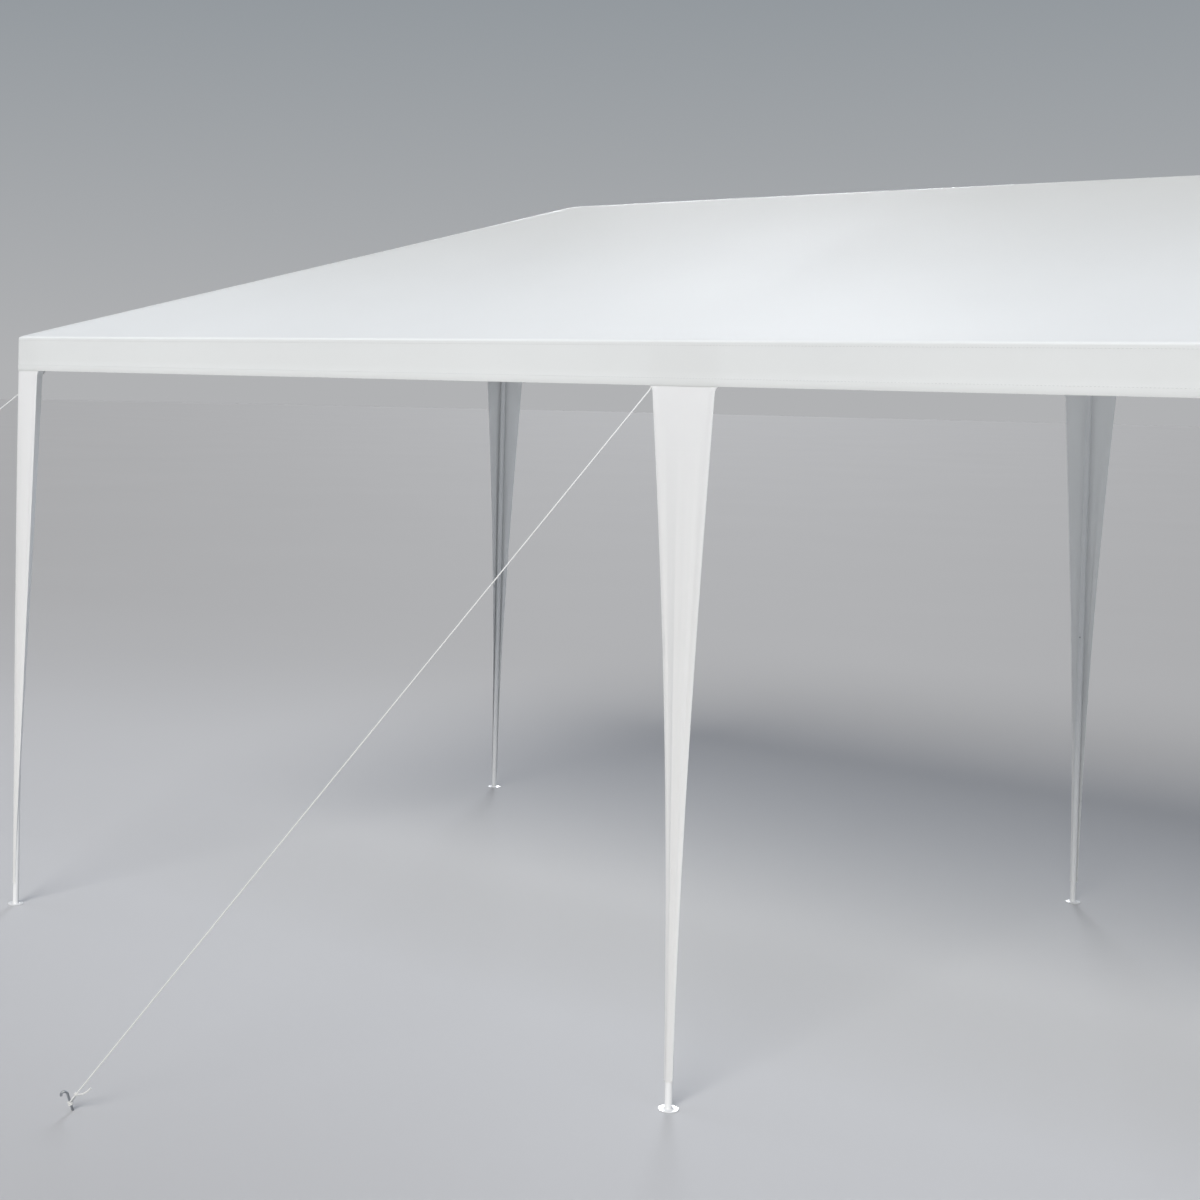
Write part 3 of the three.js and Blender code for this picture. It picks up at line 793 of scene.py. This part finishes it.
def sew(name, lines):
    """Stitches along polylines."""
    points, edges = [], []
    for line in lines:
        start = len(points)
        points += line
        edges += [(start + i, start + i + 1) for i in range(len(line) - 1)]
    values = {"Pitch": STITCH_PITCH, "Length": STITCH_LENGTH, "Width": THREAD_WIDTH, "Thread": THREAD}
    result = mesh_by_tree(raw_mesh(name, points, edges, []), STITCHES, values)
    result.name = name
    return new_piece(name, result, THREAD)


# Seams of the cover

SEAM_WIDTH = 24 * MM
SEAM_THICK = 0.8 * MM
SEAM_LIFT = 0.9 * MM           # its upper face, above the cover's
THREAD_LIFT = 1.2 * MM
HIP_STEPS, RIDGE_STEPS = 70, 60
HIP_SEAM, RIDGE_SEAM = 3 * MM, 4 * MM      # its edge, from the line where the slopes meet
HIP_ENDS = 14 * MM, HALF_SPAN - 12 * MM    # in from the eave
HIP_THREADS = 6 * MM, SEAM_WIDTH           # from the hip
RIDGE_THREADS = 0.15, 0.85                 # shares of the seam's width


def on_roof(x, y, lift):
    """A point just above the roof cloth, from distances along and in from its outer corner."""
    return Vector((x - OVERHANG, y - OVERHANG, roof_height(x, y) + lift))


def hip_run(side_x, side_y, shift, lift):
    """A line along a hip, shifted on to its end slope."""
    line = []
    for d in np.linspace(*HIP_ENDS, HIP_STEPS):
        x, y = d - shift * math.sqrt(0.5), d + shift * math.sqrt(0.5)
        x = max(x, 4 * MM)     # clear of the rounded eave
        x = x if side_x < 0 else SPAN_X - x
        y = y if side_y < 0 else SPAN_Y - y
        line.append(on_roof(x, y, lift))
    return line


def strip_between(low_line, high_line, thickness):
    """A thin closed strip between two lines, as wide as they are apart."""
    count = len(low_line)
    points = [*low_line, *high_line]
    points += [p - UP * thickness for p in low_line] + [p - UP * thickness for p in high_line]
    faces = []
    for i in range(count - 1):
        a, b = i, i + 1
        quad = (a, b, b + count, a + count)
        faces.append(quad)
        faces.append(tuple(reversed([k + 2 * count for k in quad])))
        faces.append((b, a, a + 2 * count, b + 2 * count))
        faces.append((a + count, b + count, b + 3 * count, a + 3 * count))
    faces.append((0, count, 3 * count, 2 * count))
    end = count - 1
    faces.append((end + count, end, end + 2 * count, end + 3 * count))
    return points, faces


def ridge_run(shift):
    """A line along the ridge, shifted down the rear slope."""
    places = np.linspace(HALF_SPAN, SPAN_X - HALF_SPAN, RIDGE_STEPS)
    return [on_roof(x, HALF_SPAN + shift, SEAM_LIFT) for x in places]


def make_seams():
    """The sewn strips along the hips and the ridge, and the stitches on them."""
    strips, threads = [], []
    for side_x in (-1, 1):
        for side_y in (-1, 1):
            edges = [hip_run(side_x, side_y, s, SEAM_LIFT) for s in (HIP_SEAM, HIP_SEAM + SEAM_WIDTH)]
            strips.append(strip_between(*edges, SEAM_THICK))
            threads += [hip_run(side_x, side_y, s, THREAD_LIFT) for s in HIP_THREADS]
    upper, lower = ridge_run(RIDGE_SEAM), ridge_run(RIDGE_SEAM + SEAM_WIDTH)
    strips.append(strip_between(upper, lower, SEAM_THICK))
    for share in RIDGE_THREADS:
        threads.append([a.lerp(b, share) + UP * (THREAD_LIFT - SEAM_LIFT) for a, b in zip(upper, lower)])
    points, faces = joined(strips)
    mesh = outward_mesh("roof_seams", points, faces, 30)
    seam = new_piece("roof_seams", mesh, ROOF_CLOTH)
    map_cloth(mesh)
    return [seam, sew("roof_seam_stitches", threads)]


def valance_threads(points, roof_count, rim_count):
    """Lines of stitches along the valance: under the eave, and along the top of the hem."""
    lines = []
    centre = Vector((LENGTH / 2, DEPTH / 2, 0))
    for row in (EAVE_STITCHES, HEM_STITCHES):
        start = roof_count + row * rim_count
        ring = points[start:start + rim_count]
        line = []
        for p in ring + ring[:1]:
            away = Vector((p.x - centre.x, p.y - centre.y, 0))
            outward = Vector((math.copysign(1, away.x), 0, 0))
            if abs(abs(away.y) - (DEPTH / 2 + OVERHANG)) < abs(abs(away.x) - (LENGTH / 2 + OVERHANG)):
                outward = Vector((0, math.copysign(1, away.y), 0))
            line.append(p + outward * (THREAD_LIFT - SEAM_LIFT))
        lines.append(line)
    return lines


def build_cover():
    """The cover and what is sewn on it, as one stretched sheet."""
    points, faces, roof_count, rim_count = make_cover()
    mesh = mesh_from("cover", points, faces)
    map_cloth(mesh)
    nodes = [kind + side for kind in ("roof_", "valance_") for side in ("front", "rear", "left", "right")]
    cover = new_piece("cover", cloth_mesh(mesh), ROOF_CLOTH, nodes)
    extras = make_seams()
    lines = valance_threads(points, roof_count, rim_count)
    extras.append(sew("valance_stitches", lines))


def build_skirts():
    """A hanging sheet outside each leg."""
    for seed, place in enumerate(PLACES):
        points, faces, arc, columns = make_skirt(place, seed + 1)
        name = "leg_skirt_cloth_" + place
        mesh = mesh_from(name, points, faces)
        if place.startswith("rear"):
            mesh.flip_normals()
        layer = mesh.uv_layers.new(name="cloth")
        for loop in mesh.loops:
            layer.data[loop.index].uv = arc[loop.vertex_index]
        piece = new_piece(name, cloth_mesh(mesh), SKIRT_CLOTH, ["leg_skirt_" + place])


# Tubes, sockets and legs

TUBE_START = 34 * MM           # from the middle of a socket to the tube's end in its sleeve
TUBE_EDGE = 0.8 * MM
SHOULDER = 1.2 * MM            # where a lower leg narrows into the upper one
PLATE = 2.5 * MM               # thickness of a foot
PLATE_EDGE = 0.6 * MM
SPIGOT = 30 * MM               # length of that narrower end
SLEEVE_SIDES = 28
SLEEVE_MOUTH = 1.6 * MM        # the slant of its mouth
SLEEVE_BAND = 6 * MM           # length of the rolled band behind that
SLEEVE_RIM = 0.5 * MM          # how far the band stands out
BALL_RADIUS = SLEEVE_RADIUS - 0.2 * MM
BALL_RINGS = 12


def add_tube(node, start, end):
    """A round tube in place of a straight one of the frame."""
    direction = end - start
    length = direction.length
    profile = [(0, 0), (TUBE_RADIUS - TUBE_EDGE, 0), (TUBE_RADIUS, TUBE_EDGE), (TUBE_RADIUS, length / 2),
               (TUBE_RADIUS, length - TUBE_EDGE), (TUBE_RADIUS - TUBE_EDGE, length), (0, length)]
    points, faces = turned(profile, start, direction)
    new_piece("tube_" + node, mesh_from(node, points, faces, 40), POWDER_COAT, [node])


def node_point(x, y, high=False):
    """Where the middles of tubes meet, at the eave or at the ridge."""
    return Vector((x, y, RIDGE_AXIS if high else EAVE_AXIS))


RIDGE_POINTS = {
    "left": node_point(DEPTH / 2, DEPTH / 2, True),
    "mid": node_point(LENGTH / 2, DEPTH / 2, True),
    "right": node_point(LENGTH - DEPTH / 2, DEPTH / 2, True),
}


def between(start, end):
    """The stretch of tube between two sockets."""
    direction = (end - start).normalized()
    return start + direction * TUBE_START, end - direction * TUBE_START


def tube_runs():
    """Every straight tube of the roof frame, by node name."""
    corner = {place: node_point(*LEG[place].xy) for place in PLACES}
    runs = {
        "eave_beam_front_left": (corner["front_left"], corner["front_mid"]),
        "eave_beam_front_right": (corner["front_mid"], corner["front_right"]),
        "eave_beam_rear_left": (corner["rear_left"], corner["rear_mid"]),
        "eave_beam_rear_right": (corner["rear_mid"], corner["rear_right"]),
        "eave_beam_left": (corner["front_left"], corner["rear_left"]),
        "eave_beam_right": (corner["front_right"], corner["rear_right"]),
        "ridge_tube_left": (RIDGE_POINTS["left"], RIDGE_POINTS["mid"]),
        "ridge_tube_right": (RIDGE_POINTS["right"], RIDGE_POINTS["mid"]),
    }
    for place in PLACES:
        if place.endswith("mid"):
            runs["rafter_" + place] = (corner[place], RIDGE_POINTS["mid"])
        else:
            side = "left" if place.endswith("left") else "right"
            runs["hip_rafter_" + place] = (corner[place], RIDGE_POINTS[side])
    return runs


def build_tubes(runs):
    for node, (start, end) in runs.items():
        add_tube(node, *between(start, end))


def build_legs():
    """Each leg: a lower tube with its foot and the weld between them, and an upper tube over it."""
    for place in PLACES:
        foot = LEG[place]
        low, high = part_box("lower_leg_" + place)
        plate_radius = (high.x - low.x) / 2
        plate = [(0, 0), (plate_radius - PLATE_EDGE, 0), (plate_radius, PLATE_EDGE),
                 (plate_radius, PLATE - PLATE_EDGE), (plate_radius - PLATE_EDGE, PLATE)]
        weld = [(TUBE_RADIUS + 3 * MM, PLATE), (TUBE_RADIUS + 1.2 * MM, PLATE + 0.9 * MM),
                (TUBE_RADIUS, PLATE + 3 * MM)]
        shaft = [(TUBE_RADIUS, LEG_JOINT / 2), (TUBE_RADIUS, LEG_JOINT - SHOULDER),
                 (TUBE_RADIUS - SHOULDER, LEG_JOINT), (TUBE_RADIUS - 1.3 * MM, LEG_JOINT + SPIGOT),
                 (0, LEG_JOINT + SPIGOT)]
        points, faces = turned(plate + weld + shaft, foot, UP, 40)
        mesh = mesh_from("lower_leg", points, faces, 40)
        new_piece("tube_lower_leg_" + place, mesh, POWDER_COAT, ["lower_leg_" + place])
        start = Vector((foot.x, foot.y, LEG_JOINT + 0.6 * MM))
        top = EAVE_AXIS - TUBE_START - start.z
        flare = [(0, 0), (TUBE_RADIUS - 0.3 * MM, 0), (TUBE_RADIUS + 0.5 * MM, 0.8 * MM),
                 (TUBE_RADIUS + 0.5 * MM, 5 * MM), (TUBE_RADIUS, 8 * MM)]
        shaft = [(TUBE_RADIUS, top / 2), (TUBE_RADIUS, top), (0, top)]
        points, faces = turned(flare + shaft, start, UP)
        mesh = mesh_from("upper_leg", points, faces, 40)
        new_piece("tube_upper_leg_" + place, mesh, POWDER_COAT, ["upper_leg_" + place])


def spot(point):
    """A point rounded, so that the ends of tubes that meet there have the same one."""
    return tuple(round(v, 4) for v in point)


def socket_runs(runs):
    """The middle of each connector and the directions of its sleeves, by node name."""
    found = {}
    for start, end in runs.values():
        for a, b in ((start, end), (end, start)):
            found.setdefault(spot(a), []).append((b - a).normalized())
    sockets = {}
    for place in PLACES:
        kind = "side_connector_" if place.endswith("mid") else "corner_connector_"
        point = node_point(*LEG[place].xy)
        sockets[kind + place] = (point, found[spot(point)] + [-UP])
    for side, point in RIDGE_POINTS.items():
        sockets["ridge_connector_" + side] = (point, found[spot(point)])
    return sockets


def build_sockets(runs):
    """Welded sockets: sleeves with a rolled mouth, joined into one body at a round middle."""
    neck = SLEEVE_RADIUS - SLEEVE_RIM
    band = SLEEVE_LENGTH - SLEEVE_BAND
    sleeve = [(0, 0), (neck, 0), (neck, band - 1 * MM), (SLEEVE_RADIUS, band),
              (SLEEVE_RADIUS, SLEEVE_LENGTH - SLEEVE_MOUTH), (SLEEVE_RADIUS - SLEEVE_MOUTH, SLEEVE_LENGTH),
              (0, SLEEVE_LENGTH)]
    ball = [(0, -BALL_RADIUS)]
    for i in range(1, BALL_RINGS):
        turn = math.pi * i / BALL_RINGS
        ball.append((BALL_RADIUS * math.sin(turn), -BALL_RADIUS * math.cos(turn)))
    ball.append((0, BALL_RADIUS))
    for node, (point, directions) in socket_runs(runs).items():
        solids = [turned(ball, point, UP, SLEEVE_SIDES)]
        solids += [turned(sleeve, point, d, SLEEVE_SIDES) for d in directions]
        new_piece("socket_" + node, united(node, solids), SOCKET_COAT, [node])


# Spring buttons that lock the tubes

BUTTON_RADIUS = 3.2 * MM
BUTTON_SUNK = 1 * MM           # its middle, below the surface it comes through
SLEEVE_BUTTON = 0.72 * SLEEVE_LENGTH
LEG_BUTTON = 34 * MM           # above the joint of a leg


def button_tree():
    """A domed pin at every point, turned to face along its own direction."""
    inputs = [("Places", "Geometry"), ("Radius", "Float"), ("Metal", "Material")]
    tree = new_tree("spring buttons", inputs, "Buttons")
    given = add_node(tree, "NodeGroupInput").outputs
    facing = add_node(tree, "GeometryNodeInputNamedAttribute", {"Name": "facing"},
                      data_type="FLOAT_VECTOR")
    turn = add_node(tree, "FunctionNodeAlignRotationToVector", {
        "Vector": facing.outputs["Attribute"]}, axis="Z")
    dome = add_node(tree, "GeometryNodeMeshUVSphere", {
        "Segments": 16, "Rings": 8, "Radius": given["Radius"]})
    placed = add_node(tree, "GeometryNodeInstanceOnPoints", {
        "Points": given["Places"], "Instance": dome.outputs["Mesh"],
        "Rotation": turn.outputs["Rotation"], "Scale": (1.0, 1.0, 0.8)})
    real = add_node(tree, "GeometryNodeRealizeInstances", {"Geometry": placed.outputs["Instances"]})
    dressed = add_node(tree, "GeometryNodeSetMaterial", {
        "Geometry": real.outputs["Geometry"], "Material": given["Metal"]})
    add_node(tree, "NodeGroupOutput", {"Buttons": dressed.outputs["Geometry"]})
    return tree


def build_buttons(runs):
    """A button under each end of every tube, and on the inside of each leg's two joints."""
    places, facings = [], []

    def add(point, direction, way, radius):
        side = (way - direction * way.dot(direction)).normalized()
        places.append(point + side * (radius - BUTTON_SUNK))
        facings.append(side)

    for start, end in runs.values():
        direction = (end - start).normalized()
        for point, along in ((start, direction), (end, -direction)):
            add(point + along * SLEEVE_BUTTON, direction, -UP, SLEEVE_RADIUS)
    for foot in LEG.values():
        inward = Vector((LENGTH / 2, DEPTH / 2, 0)) - foot
        add(foot + UP * (EAVE_AXIS - SLEEVE_BUTTON), UP, inward, SLEEVE_RADIUS)
        add(foot + UP * (LEG_JOINT + LEG_BUTTON), UP, inward, TUBE_RADIUS)
    mesh = raw_mesh("button_places", places, [], [])
    attribute = mesh.attributes.new("facing", "FLOAT_VECTOR", "POINT")
    for i, facing in enumerate(facings):
        attribute.data[i].vector = facing
    buttons = mesh_by_tree(mesh, button_tree(), {"Radius": BUTTON_RADIUS, "Metal": ZINC})
    new_piece("spring_buttons", buttons, ZINC)


# Tie tapes that hold the cloth to the tubes

TAPE_WIDTH, TAPE_THICK = 20 * MM, 1.0 * MM
TAPE_SIDES = 36
TAPE_GAP = 0.25 * MM           # between the tape and its tube
BEAM_TAPES, RAFTER_TAPES = 4, 2


def tape_loop(centre, direction, towards_cloth, reach):
    """A narrow loop of webbing round a tube that bulges out to the cloth it is sewn to."""
    along = direction.normalized()
    up = (towards_cloth - along * towards_cloth.dot(along)).normalized()
    side = along.cross(up)
    room = reach - TUBE_RADIUS - TAPE_GAP - TAPE_THICK - 0.05 * MM
    points, faces = [], []
    for i in range(TAPE_SIDES):
        turn = math.tau * i / TAPE_SIDES
        bulge = max(math.cos(turn), 0) ** 6
        inner = TUBE_RADIUS + TAPE_GAP + room * bulge
        ray = up * math.cos(turn) + side * math.sin(turn)
        for radius in (inner, inner + TAPE_THICK):
            for half in (-TAPE_WIDTH / 2, TAPE_WIDTH / 2):
                points.append(centre + ray * radius + along * half)
    for i in range(TAPE_SIDES):
        a, b = 4 * i, 4 * ((i + 1) % TAPE_SIDES)
        faces += [(a, b, b + 1, a + 1), (a + 2, a + 3, b + 3, b + 2),
                  (a, a + 2, b + 2, b), (a + 1, b + 1, b + 3, a + 3)]
    return points, faces


def way_to_cloth(node, start, end):
    """Square to the roof's slope at an eave beam, and straight up at the other tubes."""
    if "beam" not in node:
        return UP
    if abs((end - start).y) > 1:
        return Vector((-SLOPE if start.x < 1 * MM else SLOPE, 0, 1))
    return Vector((0, -SLOPE if start.y < 1 * MM else SLOPE, 1))


def build_tapes(runs):
    """Tapes along every tube, spaced evenly, each reaching to just short of the cloth."""
    reach = SLEEVE_RADIUS + CAD_CLOTH - CLOTH - 0.3 * MM
    loops = []
    for node, (start, end) in runs.items():
        count = BEAM_TAPES if "beam" in node else RAFTER_TAPES
        for i in range(count):
            centre = start.lerp(end, (i + 0.75) / (count + 0.5))
            loops.append(tape_loop(centre, end - start, way_to_cloth(node, start, end), reach))
    points, faces = joined(loops)
    mesh = outward_mesh("roof_ties", points, faces, 40)
    new_piece("roof_ties", mesh, TAPE)


# Guy ropes and stakes

ROPE_SIDES = 12
ROPE_GAP = 0.2 * MM            # between a turn of rope and what it lies against
ROPE_PITCH = 2 * ROPE_RADIUS + ROPE_GAP
BEAM_TURNS, STAKE_TURNS, KNOT_TURNS = 2.5, 2.4, 1.6
BEAM_KNOT = 26 * MM            # below the beam
STAKE_KNOT = 24 * MM           # up the rope from the stake
ROPE_BEND = 14 * MM            # reach of the curve where the rope clears the valance
# The tail of a knot: how far each point is out from the rope, and along it
KNOT_TAIL = [(6 * MM, 2 * MM), (13 * MM, 9 * MM), (18 * MM, 20 * MM), (20 * MM, 34 * MM)]
STAKE_SIDES = 20
STAKE_SHAFT = 48 * MM          # along the stake, up to where its hook begins
STAKE_HOOK = 9 * MM            # radius of the hook


def coil(centre, axis, first, second, radius, from_turn, to_turn, count):
    """Points of rope turned about a bar, its turns side by side."""
    points = []
    for i in range(count + 1):
        turns = from_turn + (to_turn - from_turn) * i / count
        ray = first * math.cos(math.tau * turns) + second * math.sin(math.tau * turns)
        points.append(centre + radius * ray + axis * ROPE_PITCH * turns)
    return points


def bend_round(before, corner, after, reach):
    """Points where a straight run turns a corner."""
    start = corner + (before - corner).normalized() * reach
    end = corner + (after - corner).normalized() * reach
    points = []
    for i in range(7):
        t = i / 6
        points.append(start * (1 - t) ** 2 + corner * 2 * t * (1 - t) + end * t * t)
    return points


def half_hitch(strand_point, strand_direction, arrive_from):
    """The working end taken round its own standing part, ending in a short tail."""
    along = strand_direction.normalized()
    first = arrive_from - strand_point
    first = (first - along * first.dot(along)).normalized()
    second = along.cross(first)
    loop = coil(strand_point, along, first, second, ROPE_PITCH, 0, KNOT_TURNS, count=26)
    last = loop[-1]
    drift = (last - loop[-2]).normalized()
    return loop + [last + drift * out + along * on for out, on in KNOT_TAIL]


def add_guy(place, beam_point, drift, side, ground):
    """A rope from its hitch on the beam, past the valance, to its lashing on the stake."""
    around_beam = TUBE_RADIUS + ROPE_GAP + ROPE_RADIUS
    hitch = coil(beam_point, drift, side, -UP, around_beam, -BEAM_TURNS, 0, count=60)
    top = hitch[-1]
    bend = Vector((top.x, top.y, HEM - 3 * ROPE_RADIUS))
    outward = ground - bend
    outward.z = 0
    outward.normalize()
    stake_axis = (UP * math.cos(STAKE_TILT) + outward * math.sin(STAKE_TILT)).normalized()
    eye = ground + stake_axis * STAKE_EYE
    away = (outward - stake_axis * outward.dot(stake_axis)).normalized()
    across = stake_axis.cross(away)
    around_stake = STAKE_RADIUS + ROPE_GAP + ROPE_RADIUS
    lashing = coil(eye, -stake_axis, across, away, around_stake, 0, STAKE_TURNS, count=44)
    middle = bend_round(top, bend, lashing[0], ROPE_BEND)
    knot = half_hitch(top - UP * BEAM_KNOT, -UP, hitch[0])
    route = list(reversed(knot)) + hitch + middle + lashing
    strand = (lashing[0] - bend).normalized()
    route += half_hitch(lashing[0] - strand * STAKE_KNOT, -strand, lashing[-1])
    points, faces, along = swept(route, ROPE_RADIUS, ROPE_SIDES)
    mesh = mesh_from("guy_rope", points, faces, 60)
    layer = mesh.uv_layers.new(name="cord")
    girth = math.tau * ROPE_RADIUS
    for face in mesh.polygons:
        sides = [mesh.loops[k].vertex_index % ROPE_SIDES for k in face.loop_indices]
        for k, around in zip(face.loop_indices, sides):
            if around == 0 and ROPE_SIDES - 1 in sides:
                around = ROPE_SIDES
            layer.data[k].uv = (girth * around / ROPE_SIDES, along[mesh.loops[k].vertex_index])
    new_piece("cord_guy_rope_" + place, mesh, CORD, ["guy_rope_" + place])
    add_stake(place, ground, stake_axis, away)


def add_stake(place, ground, axis, away):
    """A hooked round steel stake, cut level at the ground."""
    route = [ground + axis * height for height in (0, 10 * MM, 30 * MM)]
    for i in range(15):
        turn = math.pi * i / 14
        up, out = STAKE_HOOK * math.sin(turn), STAKE_HOOK * (1 - math.cos(turn))
        route.append(ground + axis * (STAKE_SHAFT + up) + away * out)
    points, faces, _ = swept(route, STAKE_RADIUS, STAKE_SIDES)
    for i in range(STAKE_SIDES):
        points[i] = points[i] - axis * (points[i].z / axis.z)
    mesh = mesh_from("stake", points, faces, 50)
    new_piece("hooked_stake_" + place, mesh, ZINC, ["stake_" + place])


def build_guys():
    """Three ropes, each from an eave beam just beside a skirt."""
    past_corner, past_mid = CORNER_SKIRT_REACH + 8 * MM, MID_SKIRT_HALF + 4.8 * MM
    along_x, along_y = Vector((1, 0, 0)), Vector((0, 1, 0))
    right_stake = Vector((LENGTH - CORNER_STAKE.x, CORNER_STAKE.y, 0))
    add_guy("front_left", node_point(0, past_corner), along_y, -along_x, CORNER_STAKE)
    add_guy("front_mid", node_point(BAY - past_mid, 0), -along_x, -along_y, MID_STAKE)
    add_guy("front_right", node_point(LENGTH, past_corner), along_y, along_x, right_stake)


# Camera, floor and light

def build_camera():
    """The photograph's view. Its lens and shift are in pixels of a 1200 by 1200 picture, and its
    turns in radians."""
    picture = 1200
    focal, shift = 1892.18, 170
    yaw, pitch, roll = 0.70089, -0.02789, 0.02218
    position = Vector((5.74518, -4.4421, 2.02283))
    forward = Vector((-math.sin(yaw) * math.cos(pitch), math.cos(yaw) * math.cos(pitch), math.sin(pitch)))
    right = forward.cross(UP).normalized()
    up = right.cross(forward)
    right_rolled = right * math.cos(roll) + up * math.sin(roll)
    up_rolled = up * math.cos(roll) - right * math.sin(roll)
    data = bpy.data.cameras.new("camera")
    data.sensor_width = 36
    data.lens = focal / picture * data.sensor_width
    data.shift_x, data.shift_y = shift / picture, -shift / picture
    data.clip_end = 400
    camera = in_scene("camera", data)
    turn = Matrix((right_rolled, up_rolled, -forward)).transposed().to_4x4()
    camera.matrix_world = Matrix.Translation(position) @ turn
    bpy.context.scene.camera = camera


def build_floor():
    """A plain matt studio floor, wide enough to reach the horizon."""
    material, tree = new_material("pale_floor")
    place = add_node(tree, "ShaderNodeTexCoord").outputs["Object"]
    tone = add_node(tree, "ShaderNodeTexNoise", {"Vector": place, "Scale": 0.35, "Detail": 2.0})
    mix = add_node(tree, "ShaderNodeMix", {
        0: tone.outputs["Fac"], 6: colour("#C5C6C8"), 7: colour("#C9CACC")}, data_type="RGBA")
    shader = add_node(tree, "ShaderNodeBsdfPrincipled", {
        "Base Color": mix.outputs[2], "Roughness": 0.9, "Specular IOR Level": 0.1})
    add_node(tree, "ShaderNodeOutputMaterial", {"Surface": shader.outputs["BSDF"]})
    shape = bmesh.new()
    bmesh.ops.create_circle(shape, cap_ends=True, segments=96, radius=120)
    mesh = bpy.data.meshes.new("floor")
    shape.to_mesh(mesh)
    shape.free()
    mesh.materials.append(material)
    floor = in_scene("floor", mesh)
    floor.location = (LENGTH / 2, DEPTH / 2, 0)


def add_lamp(name, kind, position, target, power, tint, **settings):
    """A lamp that points at its target and isn't itself seen."""
    data = bpy.data.lights.new(name, kind)
    data.energy = power
    data.color = colour(tint)[:3]
    for key, value in settings.items():
        setattr(data, key, value)
    lamp = in_scene(name, data)
    lamp.location = position
    lamp.rotation_mode = "QUATERNION"
    lamp.rotation_quaternion = (Vector(target) - Vector(position)).to_track_quat("-Z", "Y")
    lamp.visible_camera = False


def add_sun(name, turn, rise, power, tint, angle):
    """A sun, turned from straight in front towards the right, and up from the ground, in degrees."""
    turn, rise = math.radians(turn), math.radians(rise)
    towards = Vector((math.sin(turn) * math.cos(rise), -math.cos(turn) * math.cos(rise), math.sin(rise)))
    middle = Vector((LENGTH / 2, DEPTH / 2, 1.4))
    add_lamp(name, "SUN", middle + towards * 20, middle, power, tint, angle=math.radians(angle))


def add_strip(name, position, target, power, tint, length):
    """A long narrow panel of light over an eave."""
    add_lamp(name, "AREA", position, target, power, tint, shape="RECTANGLE", size=length, size_y=0.8)


def build_backdrop():
    """An even, weak fill from all round. The camera sees a wall as pale as the floor where they
    meet, and darker above it, so that the white cover stands out."""
    world = bpy.data.worlds.new("studio")
    world.use_nodes = True
    tree = world.node_tree
    tree.nodes.clear()
    fill = add_node(tree, "ShaderNodeBackground", {"Color": colour("#F2F6FF"), "Strength": 0.16})
    place = add_node(tree, "ShaderNodeTexCoord").outputs["Generated"]
    height = add_node(tree, "ShaderNodeSeparateXYZ", {"Vector": place}).outputs["Z"]
    share = add_node(tree, "ShaderNodeMapRange", {
        "Value": height, "From Min": 0.0, "From Max": math.sin(math.radians(14))})
    wall = add_node(tree, "ShaderNodeMix", {
        0: share.outputs["Result"], 6: colour("#B1B2B4"), 7: colour("#8C9399")}, data_type="RGBA")
    seen = add_node(tree, "ShaderNodeBackground", {"Color": wall.outputs[2], "Strength": 1.0})
    path = add_node(tree, "ShaderNodeLightPath")
    mixed = add_node(tree, "ShaderNodeMixShader", {
        0: path.outputs["Is Camera Ray"], 1: fill.outputs["Background"], 2: seen.outputs["Background"]})
    add_node(tree, "ShaderNodeOutputWorld", {"Surface": mixed.outputs["Shader"]})
    bpy.context.scene.world = world


def build_light():
    """A broad soft key in front on the right, a weaker one behind on the left, and a long strip
    above each long eave. The front one makes the cover brighter at the eave than at the ridge."""
    add_sun("key", turn=16, rise=34, power=2.32, tint="#FFFBF5", angle=28)
    add_sun("side", turn=-148, rise=16, power=1.4, tint="#F4F8FF", angle=14)
    high = EAVE + 1.45
    add_strip("rear", (LENGTH / 2, DEPTH + 1.5, high), (LENGTH / 2, DEPTH - 0.7, EAVE + 0.2),
              power=52, tint="#F4F8FF", length=10)
    add_strip("strip", (LENGTH / 2, -0.75, high), (LENGTH / 2, 0.25, EAVE),
              power=120, tint="#EAF0FF", length=22)
    bpy.context.scene.view_settings.view_transform = "Standard"


build_camera()
RUNS = tube_runs()
build_cover()
build_skirts()
build_tubes(RUNS)
build_legs()
build_sockets(RUNS)
build_buttons(RUNS)
build_tapes(RUNS)
build_guys()
build_floor()
build_backdrop()
build_light()
